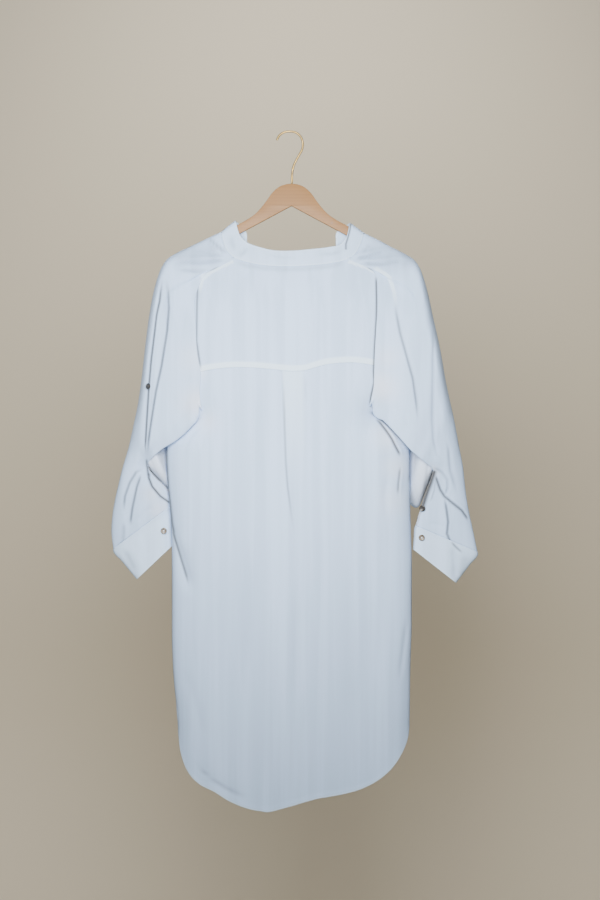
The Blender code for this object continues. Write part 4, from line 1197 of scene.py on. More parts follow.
def cuff_control(sleeve: Array, rim: tuple) -> Array:
    """Lay a cuff's control rings, from the sleeve's last ring to the cuff's rim.

    Args:
        sleeve: the sleeve's control rings.
        rim: the rim's outer x, z, inner x, z, middle y and depth.

    Returns:
        Rings by points.
    """
    outer_x, outer_z, inner_x, inner_z, rim_middle, shrink = rim
    outer, inner = np.array([outer_x, outer_z]), np.array([inner_x, inner_z])
    kept = list(range(RING_HALF)) + [RING_HALF + len(UNDERSIDE)]
    kept += list(range(RING_HALF + 2 * len(UNDERSIDE) + 1, len(sleeve[-1])))
    seam = sleeve[-1, kept]
    heading = seam - sleeve[-2, kept]
    heading /= np.linalg.norm(heading, axis=1, keepdims=True)
    turn = seam + heading * CUFF_TURN
    plan = turn[:, [0, 2]]
    reach = plan[np.argmax(np.linalg.norm(plan - plan[0], axis=1))] - plan[0]
    across = np.clip((plan - plan[0]) @ reach / (reach @ reach), 0.0, 1.0)[:, None]
    rim_plan = outer + (inner - outer) * across
    rim_y = rim_middle + (turn[:, 1] - turn[0, 1]) * shrink
    rim_ring = np.insert(rim_plan, 1, rim_y, axis=1)
    return np.stack([seam, turn] + [turn + (rim_ring - turn) * share for share in CUFF_ROWS])


def padded_tube(control: Array) -> tuple[Array, Array, float, float]:
    """Lengthen closed rings past their seam, so that a curve through them closes smoothly.

    Args:
        control: rings by points, the last point on the first.

    Returns:
        The longer rings, their mean stations, and the stations of the seam's two ends.
    """
    padded = np.concatenate([control[:, -3:-1], control, control[:, 1:3]], axis=1)
    stations = mean_stations(np.swapaxes(padded, 0, 1))
    return padded, stations, stations[2], stations[2 + control.shape[1] - 1]


def finer_plan(plan: Array, step_across: float, step_down: float,
               foot: tuple[float, float], *top: tuple[float, float]) -> Array:
    """Refine a panel's plan.

    Args:
        plan: its coarse grid of x, z.
        step_across: distance between columns.
        step_down: distance between rows where no zone is given.
        foot: length and step of the zone at the foot.
        *top: lengths and steps of the zones at the top.

    Returns:
        The finer grid.
    """
    length = mean_stations(plan)[-1] - foot[0] - sum(zone[0] for zone in top)
    down = zoned(*top, (length, step_down), foot)
    across = zoned((mean_stations(np.swapaxes(plan, 0, 1))[-1], step_across))
    return refine(plan, down, across)


def from_last_row(plan: Array) -> Array:
    """Measure how far points are from their grid's last row, along their columns.

    Args:
        plan: rows by columns of points.

    Returns:
        The distances, rows by columns.
    """
    steps = np.linalg.norm(np.diff(plan, axis=0), axis=-1)[::-1]
    runs = np.concatenate([np.zeros((1, plan.shape[1])), np.cumsum(steps, axis=0)])
    return runs[::-1]


def trim_rows(grid: Array, first: bool, last: bool) -> None:
    """Draw a grid's first or last row back by half a seam gap.

    Args:
        grid: rows by columns of points, which is changed.
        first: whether its first row is drawn back.
        last: whether its last row is.
    """
    for wanted, edge, inner in ((first, 0, 1), (last, -1, -2)):
        if wanted:
            step = grid[inner] - grid[edge]
            length = np.linalg.norm(step, axis=-1, keepdims=True)
            grid[edge] += step / length * SEAM_GAP * 0.5


def hung_layer(plan: Array, folds: list, creases: tuple[Crease, ...],
               start: float) -> tuple[Array, Array, Array]:
    """Hang a hemmed panel with its folds, creases and ripples.

    Args:
        plan: its grid of x, z.
        folds: its large soft folds.
        creases: its creases.
        start: where its ripples start.

    Returns:
        Distance from the shirt's middle plane, painted shade, and paleness at the hem's roll.
    """
    x, z = plan[..., 0], plan[..., 1]
    half = body_half(x, z)
    sink = np.minimum(fold_depth(folds, x, z), FOLD_LIMIT * half)
    fine, dark = crease_marks(creases, x, z)
    fine = np.minimum(fine + ripple(x + start, z), FOLD_LIMIT * half)
    fine = fine * smooth(half / CREASE_ROOM)
    to_edge = from_last_row(plan)
    depth = half - sink - fine + HEM_LIFT * edged(HEM - to_edge)
    return depth, dark, edged(HEM_ROLL - to_edge)


class NodeBench:
    """A material's shader, with short ways to add and join nodes."""

    def __init__(self, name: str) -> None:
        """Start a material.

        Args:
            name: the material's name.
        """
        self.material = bpy.data.materials.new(name)
        self.material.use_nodes = True
        self.tree = self.material.node_tree
        self.shader = self.tree.nodes["Principled BSDF"]

    def add(self, kind: str, settings: dict | None = None, **inputs: object) -> bpy.types.Node:
        """Add a node.

        Args:
            kind: the node's type, without its ShaderNode prefix.
            settings: properties to set on the node.
            **inputs: socket values or links by name, spaces as underscores.

        Returns:
            The node.
        """
        node = self.tree.nodes.new("ShaderNode" + kind)
        for key, value in (settings or {}).items():
            setattr(node, key, value)
        self.fill(node, inputs)
        return node

    def fill(self, node: bpy.types.Node, inputs: dict[str, object]) -> None:
        """Set a node's sockets by name, spaces as underscores, or join others to them."""
        for key, value in inputs.items():
            self.put(node.inputs[key.replace("_", " ")], value)

    def put(self, socket: Socket, value: object) -> None:
        """Set a socket to a value, or join another socket to it.

        Args:
            socket: the socket.
            value: a value, or the socket to join to it.
        """
        if isinstance(value, Socket):
            self.tree.links.new(value, socket)
        else:
            socket.default_value = value

    def dress(self, **inputs: object) -> Material:
        """Set the shader's sockets and return the finished material."""
        self.fill(self.shader, inputs)
        return self.material

    def place(self) -> Socket:
        """Object coordinates, in metres."""
        return self.add("TexCoord").outputs["Object"]

    def math(self, operation: str, first: object, second: object = 0.0,
             clamp: bool = False) -> Socket:
        """Add a Math node.

        Args:
            operation: the node's operation.
            first: its first value or socket.
            second: its second one.
            clamp: whether the result stays from 0 to 1.

        Returns:
            The result.
        """
        node = self.add("Math", {"operation": operation, "use_clamp": clamp})
        self.put(node.inputs[0], first)
        self.put(node.inputs[1], second)
        return node.outputs[0]

    def times(self, value: object, share: float, clamp: bool = False) -> Socket:
        """A value times a share."""
        return self.math("MULTIPLY", value, share, clamp)

    def line(self, value: object, share: float, start: object, clamp: bool = False) -> Socket:
        """A value times a share, added to a start."""
        return self.math("ADD", self.times(value, share), start, clamp)

    def blend(self, factor: object, first: object, second: object) -> Socket:
        """Mix two colours.

        Args:
            factor: the second colour's share.
            first: the first colour or socket.
            second: the second one.

        Returns:
            The mixed colour.
        """
        node = self.add("Mix", {"data_type": "RGBA"})
        self.put(node.inputs[0], factor)
        self.put(node.inputs[6], first)
        self.put(node.inputs[7], second)
        return node.outputs[2]

    def noise(self, vector: object, scale: float, detail: float = 2.0,
              roughness: float = 0.5) -> Socket:
        """Add a Noise texture.

        Args:
            vector: where it is read.
            scale: its scale.
            detail: its detail.
            roughness: its roughness.

        Returns:
            The value.
        """
        node = self.add("TexNoise", None, Vector=vector, Scale=scale, Detail=detail,
                        Roughness=roughness)
        return node.outputs["Fac"]

    def stretch(self, vector: object, scale: tuple[float, float, float]) -> object:
        """Scale a vector and return it."""
        return self.add("Mapping", None, Vector=vector, Scale=scale).outputs[0]

    def ramp(self, value: object, low: float, high: float) -> Socket:
        """Ease a value from 0 at low to 1 at high."""
        return self.add("MapRange", {"interpolation_type": "SMOOTHSTEP"}, Value=value,
                        From_Min=low, From_Max=high).outputs[0]

    def bump(self, height: object, distance: float, strength: float,
             under: object = None) -> Socket:
        """Add a Bump node.

        Args:
            height: the height.
            distance: the relief's depth, in metres.
            strength: its strength.
            under: the normal that it is laid on.

        Returns:
            The normal.
        """
        below = {} if under is None else {"Normal": under}
        return self.add("Bump", None, Height=height, Distance=distance, Strength=strength,
                        **below).outputs[0]


def darker(colour: Colour, share: float) -> Colour:
    """A colour with its light cut to a share."""
    return tuple(share * part for part in colour[:3]) + (1.0,)


@dataclass(frozen=True)
class Crepe:
    """Light crepe weave in cool white.

    Attributes:
        colour: the cloth's colour.
        pale: its colour where it is doubled at seams and as a painted highlight along the cuffs'
            rims, and how much of that shows.
        painted_light: the pale warm colour painted where the cloth is lightened, and how much of
            it shows.
        fold: the colour of the shade painted deep in creases, and how much of that shows.
        deep: share of its light in the streaks' painted shade.
        thread: distance between threads, in metres.
        painted_streak_shade: strength of the shade painted in soft upright streaks, standing in
            for the shading of soft folds.
        slubs: strength of the thicker threads.
        clouds: strength of the broad unevenness.
        relief: shares of the weave and of the crepe's grain in the surface.
    """

    colour: Colour = (0.51, 0.68, 0.94, 1.0)
    pale: tuple[Colour, float] = ((0.68, 0.85, 1.0, 1.0), 0.8)
    painted_light: tuple[Colour, float] = ((0.86, 0.86, 0.90, 1.0), 0.65)
    fold: tuple[Colour, float] = ((0.06, 0.056, 0.052, 1.0), 0.95)
    deep: float = 0.86
    thread: float = 0.00055
    painted_streak_shade: float = 0.75
    slubs: float = 0.12
    clouds: float = 0.14
    relief: tuple[float, float] = (0.45, 0.8)

    def material(self, name: str) -> Material:
        """Build the cloth's material, whose weave follows the piece's own UV map.

        Args:
            name: the material's name.

        Returns:
            The material.
        """
        bench = NodeBench(name)
        uv = bench.add("UVMap", {"uv_map": "cut"}).outputs[0]
        place = bench.place()
        wave = 2.0 * math.pi / (20.0 * self.thread)
        warp, weft = [bench.add("TexWave", {"bands_direction": way}, Vector=uv, Scale=wave,
                                Distortion=1.2, Detail=1.0).outputs["Fac"] for way in "XY"]
        crepe = bench.noise(uv, 1.0 / (1.7 * self.thread), 3.0, 0.65)
        slub = bench.noise(bench.stretch(uv, (900.0, 24.0, 1.0)), 1.0)
        streak = bench.noise(bench.stretch(place, (50.0, 50.0, 1.5)), 1.0, 3.0)
        weave = bench.times(bench.math("ADD", warp, weft), 0.5)
        grain = bench.line(weave, self.relief[0], bench.times(crepe, self.relief[1]))
        # Shade painted in soft upright streaks, standing in for the shading of soft folds; then
        # the thicker threads and broad unevenness
        shade = bench.times(bench.ramp(streak, 0.36, 0.64), self.painted_streak_shade)
        shade = bench.line(bench.ramp(slub, 0.5, 0.8), self.slubs, shade)
        shade = bench.line(bench.noise(place, 7.0), self.clouds, shade)
        colour = bench.blend(shade, self.colour, darker(self.colour, self.deep))
        # Laid over the cloth: paleness of doubled cloth with the cuffs' painted highlight, then
        # painted light, then shade painted into creases
        for mark, (tint, share) in (("pale", self.pale), ("painted_light", self.painted_light), ("dark", self.fold)):
            level = bench.add("Attribute", {"attribute_name": mark}).outputs["Fac"]
            colour = bench.blend(bench.times(level, share, True), colour, tint)
        normal = bench.bump(grain, 0.00012, 0.5, bench.bump(streak, 0.0006, 0.25))
        return bench.dress(Base_Color=colour, Roughness=bench.line(crepe, 0.16, 0.72),
                           Normal=normal, Sheen_Weight=0.14, Sheen_Roughness=0.45,
                           Specular_IOR_Level=0.25)


@dataclass(frozen=True)
class Thread:
    """Twisted sewing thread.

    Attributes:
        colour: the thread's colour.
        deep: share of its light in its darker places.
        twist: how many strands show in a metre.
    """

    colour: Colour = (0.84, 0.87, 0.91, 1.0)
    deep: float = 0.82
    twist: float = 2600.0

    def material(self, name: str) -> Material:
        """Build the thread's material.

        Args:
            name: the material's name.

        Returns:
            The material.
        """
        bench = NodeBench(name)
        place = bench.place()
        strands = bench.add("TexWave", {"bands_direction": "DIAGONAL"}, Vector=place,
                            Scale=self.twist * math.pi / 10.0).outputs["Fac"]
        colour = bench.blend(bench.noise(place, 300.0), self.colour,
                             darker(self.colour, self.deep))
        return bench.dress(Base_Color=colour, Normal=bench.bump(strands, 0.0001, 0.4),
                           Roughness=0.6, Sheen_Weight=0.2)


@dataclass(frozen=True)
class Birch:
    """Light birch under clear satin lacquer.

    Attributes:
        early: the pale wood between the rings.
        late: the darker line of each ring.
        ring: distance between rings across the grain, in metres.
        knot: place of a small dark speck, in metres.
        speck: the speck's colour.
    """

    early: Colour = (0.28, 0.125, 0.014, 1.0)
    late: Colour = (0.17, 0.068, 0.007, 1.0)
    ring: float = 0.006
    knot: tuple[float, float, float] = (0.0713, -0.006, -0.1602)
    speck: Colour = (0.20, 0.11, 0.05, 1.0)

    def material(self, name: str) -> Material:
        """Build the wood's material; its grain runs along x.

        Args:
            name: the material's name.

        Returns:
            The material.
        """
        bench = NodeBench(name)
        place = bench.place()
        wander = bench.noise(bench.stretch(place, (5.0, 30.0, 30.0)), 1.0, 3.0)
        rings = bench.add("TexWave", {"bands_direction": "Z", "wave_profile": "SAW"},
                          Vector=bench.stretch(place, (0.06, 1.0, 1.0)),
                          Scale=math.pi / 10.0 / self.ring, Distortion=3.5, Detail=2.0,
                          Detail_Scale=1.2).outputs["Fac"]
        pores = bench.noise(bench.stretch(place, (90.0, 2200.0, 2200.0)), 1.0)
        fleck = bench.ramp(pores, 0.58, 0.75)
        tone = bench.line(rings, 0.35, bench.times(wander, 0.5))
        tone = bench.line(fleck, 0.22, tone, True)
        away = bench.add("VectorMath", {"operation": "DISTANCE"}, Vector=place)
        bench.put(away.inputs[1], self.knot)
        mark = bench.ramp(away.outputs["Value"], 0.0032, 0.0012)
        colour = bench.blend(tone, self.early, self.late)
        colour = bench.blend(bench.times(mark, 0.7), colour, self.speck)
        return bench.dress(Base_Color=colour, Roughness=bench.line(wander, 0.15, 0.36),
                           Normal=bench.bump(fleck, 0.0002, 0.18), Specular_IOR_Level=0.3,
                           Coat_Weight=0.06, Coat_Roughness=0.4)


@dataclass(frozen=True)
class HookSteel:
    """Drawn steel wire, lightly worn.

    Attributes:
        bright: the clean metal.
        dull: the metal where it has tarnished.
    """

    bright: Colour = (0.42, 0.28, 0.09, 1.0)
    dull: Colour = (0.18, 0.13, 0.075, 1.0)

    def material(self, name: str) -> Material:
        """Build the wire's material.

        Args:
            name: the material's name.

        Returns:
            The material.
        """
        bench = NodeBench(name)
        place = bench.place()
        wear = bench.ramp(bench.noise(place, 60.0, 4.0), 0.42, 0.68)
        drawn_lines = bench.noise(bench.stretch(place, (2500.0, 2500.0, 120.0)), 1.0)
        return bench.dress(Base_Color=bench.blend(wear, self.bright, self.dull),
                           Roughness=bench.line(wear, 0.2, 0.28),
                           Normal=bench.bump(drawn_lines, 0.0001, 0.15), Metallic=1.0)


@dataclass(frozen=True)
class ButtonShell:
    """Polished button with cloudy bands through it.

    Attributes:
        dark: the darker bands.
        light: the paler bands.
    """

    dark: Colour
    light: Colour

    def material(self, name: str) -> Material:
        """Build the button's material.

        Args:
            name: the material's name.

        Returns:
            The material.
        """
        bench = NodeBench(name)
        place = bench.place()
        cloud = bench.noise(place, 260.0, 3.0, 0.6)
        band = bench.noise(bench.stretch(place, (120.0, 400.0, 700.0)), 1.0)
        tone = bench.ramp(bench.times(bench.math("ADD", cloud, band), 0.5), 0.4, 0.62)
        return bench.dress(Base_Color=bench.blend(tone, self.dark, self.light),
                           Roughness=bench.line(cloud, 0.15, 0.18),
                           Normal=bench.bump(cloud, 0.0001, 0.1), Coat_Weight=0.15,
                           Coat_Roughness=0.2)


@dataclass(frozen=True)
class StagePaint:
    """Plain matt paint of the floor and backdrop.

    Attributes:
        colour: its colour.
        deep: share of its light in its darker places.
        cloud: strength of its faint clouds.
    """

    colour: Colour = (0.80, 0.71, 0.54, 1.0)
    deep: float = 0.9
    cloud: float = 0.12

    def material(self, name: str) -> Material:
        """Build the stage's material.

        Args:
            name: the material's name.

        Returns:
            The material.
        """
        bench = NodeBench(name)
        tone = bench.times(bench.noise(bench.place(), 3.0, 4.0), self.cloud)
        colour = bench.blend(tone, self.colour, darker(self.colour, self.deep))
        return bench.dress(Base_Color=colour, Roughness=0.9)


def finished_mesh(name: str, bm: bmesh.types.BMesh) -> Mesh:
    """Turn a bmesh into a smooth mesh.

    Args:
        name: the mesh's name.
        bm: the bmesh, which is freed.

    Returns:
        The mesh.
    """
    mesh = bpy.data.meshes.new(name)
    bm.to_mesh(mesh)
    bm.free()
    mesh.shade_smooth()
    return mesh


def weld(mesh: Mesh, merge: bool = True) -> None:
    """Close a mesh and turn all its faces one way.

    Args:
        mesh: the mesh.
        merge: whether points that meet are merged.
    """
    bm = bmesh.new()
    bm.from_mesh(mesh)
    if merge:
        bmesh.ops.remove_doubles(bm, verts=bm.verts, dist=WELD * MM)
    bmesh.ops.recalc_face_normals(bm, faces=bm.faces)
    bm.to_mesh(mesh)
    bm.free()
    mesh.shade_smooth()


def link(item: bpy.types.Object) -> None:
    """Put an object in the scene."""
    bpy.context.scene.collection.objects.link(item)


def worked_out(item: bpy.types.Object) -> Mesh:
    """Work out an object's mesh from its curve or modifiers, and remove the object.

    Args:
        item: an object that isn't in the scene yet.

    Returns:
        The mesh.
    """
    link(item)
    bpy.context.view_layer.update()
    graph = bpy.context.evaluated_depsgraph_get()
    mesh = bpy.data.meshes.new_from_object(item.evaluated_get(graph))
    bpy.data.objects.remove(item)
    return mesh


def drawn(name: str, points: list[tuple[float, float, float]], closed: bool, tip: float,
          **settings: object) -> Mesh:
    """Make a mesh from a curve through points.

    Args:
        name: the curve's name.
        points: its points.
        closed: whether its end meets its start.
        tip: share of its thickness at its first point.
        **settings: the curve's properties.

    Returns:
        The mesh.
    """
    curve = bpy.data.curves.new(name, "CURVE")
    for key, value in settings.items():
        setattr(curve, key, value)
    spline = curve.splines.new("POLY")
    spline.points.add(len(points) - 1)
    for point, place in zip(spline.points, points):
        point.co = [part * MM for part in place] + [1.0]
    spline.points[0].radius = tip
    spline.use_cyclic_u = closed
    return worked_out(bpy.data.objects.new(name, curve))


def add_piece(name: str, mesh: Mesh, material: Material,
              slot: str) -> bpy.types.Object:
    """Add a finished mesh to the scene as a piece of the shirt.

    Args:
        name: the piece's name.
        mesh: its mesh, in place.
        material: its material.
        slot: the record's material slot that it stands for.

    Returns:
        The piece.
    """
    mesh.materials.clear()
    mesh.materials.append(material)
    piece = bpy.data.objects.new(name, mesh)
    link(piece)
    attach(piece, BODY)
    LOG.info("%s: %d points, slot %s", name, len(mesh.vertices), slot)
    return piece


@dataclass
class Shell:
    """A thin shell of cloth on a grid of points.

    Attributes:
        node: the solid that it stands for.
        slot: the record's material slot.
        grid: rows by columns of points.
        pale: paleness of each point.
        painted_light: the painted light at each point.
        dark: the painted shade at each point.
        wall: thickness of the cloth.
        closed: whether the last column meets the first.
        flat: width and length of the cut, in metres; not used.
        area: flat area of the cut, in square metres; not used.
        rests_on: what holds it up; not used.
    """

    node: str
    slot: str
    grid: Array
    pale: Array
    painted_light: Array
    dark: Array
    flat: tuple[float, float]
    area: float
    wall: float = WALL
    closed: bool = False
    rests_on: tuple[str, ...] = ("hanger_wood_birch",)

    @property
    def name(self) -> str:
        """The piece's name."""
        return self.node + "_crepe"

    def mesh(self) -> Mesh:
        """Build the sheet's mesh, with its cut as UV map, and its paleness, painted light and
        painted shade as attributes.

        Returns:
            The mesh.
        """
        rows, columns = self.grid.shape[:2]
        bm = bmesh.new()
        bmesh.ops.create_grid(bm, x_segments=columns - 1, y_segments=rows - 1, size=1.0)
        mesh = finished_mesh(self.name, bm)
        flat = np.zeros(len(mesh.vertices) * 3, np.float32)
        mesh.vertices.foreach_get("co", flat)
        flat = flat.reshape(-1, 3)
        column = np.rint((flat[:, 0] + 1.0) * 0.5 * (columns - 1)).astype(int)
        row = np.rint((flat[:, 1] + 1.0) * 0.5 * (rows - 1)).astype(int)
        mesh.vertices.foreach_set("co", (self.grid[row, column] * MM).astype(np.float32).ravel())
        for label, values in (("pale", self.pale), ("painted_light", self.painted_light), ("dark", self.dark)):
            layer = mesh.attributes.new(label, "FLOAT", "POINT")
            layer.data.foreach_set("value", values[row, column].astype(np.float32))
        across = mean_stations(np.swapaxes(self.grid, 0, 1)) * MM
        down = mean_stations(self.grid) * MM
        corners = np.zeros(len(mesh.loops), np.int32)
        mesh.loops.foreach_get("vertex_index", corners)
        cut = np.stack([across[column[corners]], down[row[corners]]], axis=-1)
        mesh.uv_layers.new(name="cut").data.foreach_set("uv", cut.astype(np.float32).ravel())
        weld(mesh, self.closed)
        return mesh

    def build(self, material: Material) -> bpy.types.Object:
        """Args:
            material: the cloth's material.

        Returns:
            The piece.
        """
        piece = add_piece(self.name, self.mesh(), material, self.slot)
        thicken = piece.modifiers.new("wall", "SOLIDIFY")
        thicken.thickness = self.wall * MM
        thicken.offset = 0.0
        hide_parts(self.node)
        return piece

    def spread(self) -> float:
        """Measure the cloth.

        Returns:
            The area in square metres.
        """
        grid = self.grid * MM
        first = np.cross(grid[1:, 1:] - grid[:-1, :-1], grid[1:, :-1] - grid[:-1, 1:])
        return float(np.linalg.norm(first, axis=-1).sum() * 0.5)

    def surface(self, rows: Array, columns: Array) -> Array:
        """Find points of the cloth.

        Args:
            rows: fractional rows.
            columns: fractional columns.

        Returns:
            The points.
        """
        rows = np.clip(rows, 0.0, len(self.grid) - 1.001)
        columns = np.clip(columns, 0.0, self.grid.shape[1] - 1.001)
        r, c = rows.astype(int), columns.astype(int)
        s, t = (rows - r)[:, None], (columns - c)[:, None]
        grid = self.grid
        return ((grid[r, c] * (1 - t) + grid[r, c + 1] * t) * (1 - s)
                + (grid[r + 1, c] * (1 - t) + grid[r + 1, c + 1] * t) * s)

    def beside_edge(self, distance: float, from_foot: bool) -> tuple[Array, Array]:
        """Find a line that runs beside the first or the last row.

        Args:
            distance: how far from that row it runs.
            from_foot: whether that row is the last one.

        Returns:
            The fractional rows and the columns of the line's points.
        """
        columns = np.arange(1, self.grid.shape[1] - 1)
        grid = self.grid[::-1] if from_foot else self.grid
        runs = from_last_row(grid[::-1])[::-1]
        rows = np.array([np.interp(distance, runs[:, c], np.arange(len(grid))) for c in columns])
        return len(grid) - 1 - rows if from_foot else rows, columns.astype(float)


@dataclass
class StitchRun:
    """A line of stitches on a shell.

    Attributes:
        length: a stitch's length.
        gap: the gap between stitches.
        width: the thread's width.
        height: how far it stands out of the cloth.
        round: radius of the rounded bar that is stretched to these sizes.
    """

    length: float = 2.3
    gap: float = 0.9
    width: float = 0.42
    height: float = 0.34
    round: float = 0.55

    def frames(self, shell: Shell, rows: Array, columns: Array,
               outward: float) -> list[Matrix]:
        """Place stitches along a line on a shell.

        Args:
            shell: the cloth.
            rows: fractional rows of the line's points.
            columns: fractional columns of the line's points.
            outward: the sign that turns the grid's own normal outwards.

        Returns:
            One matrix for each stitch.
        """
        path = shell.surface(rows, columns)
        down = shell.surface(rows + 0.5, columns) - shell.surface(rows - 0.5, columns)
        across = shell.surface(rows, columns + 0.5) - shell.surface(rows, columns - 0.5)
        normals = np.cross(across, down) * outward
        normals /= np.linalg.norm(normals, axis=1, keepdims=True)
        runs = run_lengths(path)
        middles = np.arange(self.length, runs[-1] - self.length, self.length + self.gap)
        places = []
        for middle in middles:
            ends = [np.array([np.interp(middle + shift, runs, path[:, axis])
                              for axis in range(3)]) for shift in (-0.5, 0.5)]
            normal = np.array([np.interp(middle, runs, normals[:, axis]) for axis in range(3)])
            heading = Vector(ends[1] - ends[0]).normalized()
            up = Vector(normal).normalized()
            side = up.cross(heading).normalized()
            centre = Vector((ends[0] + ends[1]) * 0.5 + np.array(up) * shell.wall * 0.5)
            turn = Matrix((side, heading, up)).transposed().to_4x4()
            size = Matrix.Diagonal((self.width * MM, self.length * MM, self.height * MM, 1.0))
            places.append(Matrix.Translation(centre * MM) @ turn @ size)
        return places

    def sew(self, name: str, places: list[Matrix], material: Material,
            slot: str) -> bpy.types.Object:
        """Build all the stitches of a piece as one mesh of small rounded bars.

        Args:
            name: the mesh's name.
            places: one matrix for each stitch.
            material: the thread's material.
            slot: the record's material slot that it stands for.

        Returns:
            The stitches' piece.
        """
        bm = bmesh.new()
        for place in places:
            bmesh.ops.create_icosphere(bm, subdivisions=1, radius=self.round, matrix=place)
        return add_piece(name, finished_mesh(name, bm), material, slot)


@dataclass
class Yoke:
    """Back yoke between the neck seam, the sleeves and the yoke seam.

    Attributes:
        step: distance between rows.
        step_band: distance between rows on the band at the yoke seam.
        step_across: distance between columns.
        ripples: share of the ripples that it has.
        flat: width and length of the cut, in metres.
        area: flat area of the cut.
    """

    step: float = 2.8
    step_band: float = 1.2
    step_across: float = 1.6
    ripples: float = 0.6
    flat: tuple[float, float] = (0.345, 0.215)
    area: float = 0.062

    def shell(self) -> Shell:
        """Work out the yoke's cloth.

        Returns:
            The shell.
        """
        neck = neck_back()[CORNER:-CORNER, 2:]
        left_line = body_edge(Side.LEFT, neck[0])
        right_line = body_edge(Side.RIGHT, neck[-1])
        heights = np.linspace(YOKE_TOP_Z, YOKE_FOOT_Z, YOKE_ROWS)
        top = with_shoulders(neck, left_line, right_line)
        columns = np.repeat(np.linspace(0.0, 1.0, len(top))[None, :], len(heights), axis=0)
        plan = panel_plan(edge_rows(left_line, heights), edge_rows(right_line, heights), top,
                          yoke_foot(), columns, *YOKE_FADES)
        plan = finer_plan(plan, self.step_across, self.step, (YOKE_BAND, self.step_band))
        x, z = plan[..., 0], plan[..., 1]
        lapped = edged(YOKE_BAND - from_last_row(plan), YOKE_SOFT)
        lift, pale = band_cover(YOKE_BANDS, x, z)
        fine, dark = crease_marks(YOKE_CREASES, x, z)
        sink = fine + ripple(x, z) * self.ripples
        y = -(body_half(x, z) - sink + np.maximum(lift, BAND_LIFT * lapped))
        grid = np.stack([x, y, z], axis=-1)
        trim_rows(grid, first=True, last=False)
        return Shell("back_yoke", "yoke_cloth", grid,
                     np.maximum(pale, lapped), painted_light_patches(BACK_PAINTED_LIGHT, x, z), dark, self.flat,
                     self.area)


@dataclass
class BackPanel:
    """Back panel from the yoke seam to the long rounded hem, with the box pleat.

    Attributes:
        upper: length of its upper zone, and the distance between rows there.
        underarm: the same beside the underarm.
        lower_step: distance between rows below.
        step_across: distance between columns.
        step_hem: distance between rows on the hem.
        flat: width and length of the cut, in metres.
        area: flat area of the cut.
    """

    upper: tuple[float, float] = (85.0, 3.6)
    underarm: tuple[float, float] = (150.0, 2.4)
    lower_step: float = 6.2
    step_across: float = 1.75
    step_hem: float = 1.1
    flat: tuple[float, float] = (0.45, 0.80)
    area: float = 0.315

    def shell(self) -> Shell:
        """Work out the back panel's cloth.

        Returns:
            The shell.
        """
        neck = neck_back()[:, 2:]
        left = edge_rows(body_edge(Side.LEFT, neck[CORNER]),
                         panel_rows(Side.LEFT, YOKE_FOOT_Z, BACK_SIDE_Z, BACK_ROWS))
        right = edge_rows(body_edge(Side.RIGHT, neck[-1 - CORNER]),
                          panel_rows(Side.RIGHT, YOKE_FOOT_Z, BACK_SIDE_Z, BACK_ROWS))
        columns = np.array([pleated_columns(a[0], b[0], a[1]) for a, b in zip(left, right)])
        hem = along(HEM_BACK, 0.5 * (columns[-1] + np.linspace(0.0, 1.0, columns.shape[1])))
        plan = panel_plan(left, right, yoke_foot(), hem, columns, *BACK_FADES)
        plan = finer_plan(plan, self.step_across, self.lower_step, (HEM, self.step_hem),
                          self.upper, self.underarm)
        x, z = plan[..., 0], plan[..., 1]
        depth, dark, rolled = hung_layer(plan, BACK_FOLDS, BACK_CREASES, 0.0)
        inside = pleat_inside(x, z)
        grid = np.stack([x, -(depth + pleat_folds(z)[2] * inside), z], axis=-1)
        trim_rows(grid, first=True, last=False)
        fade = smooth((z - PLEAT_PALE_FOOT) / (PLEAT_PALE_TOP - PLEAT_PALE_FOOT))
        pale = np.maximum(rolled, PLEAT_PALE * inside * fade)
        return Shell("back_panel", "back_cloth", grid, pale,
                     painted_light_patches(BACK_PAINTED_LIGHT, x, z), dark, self.flat, self.area)


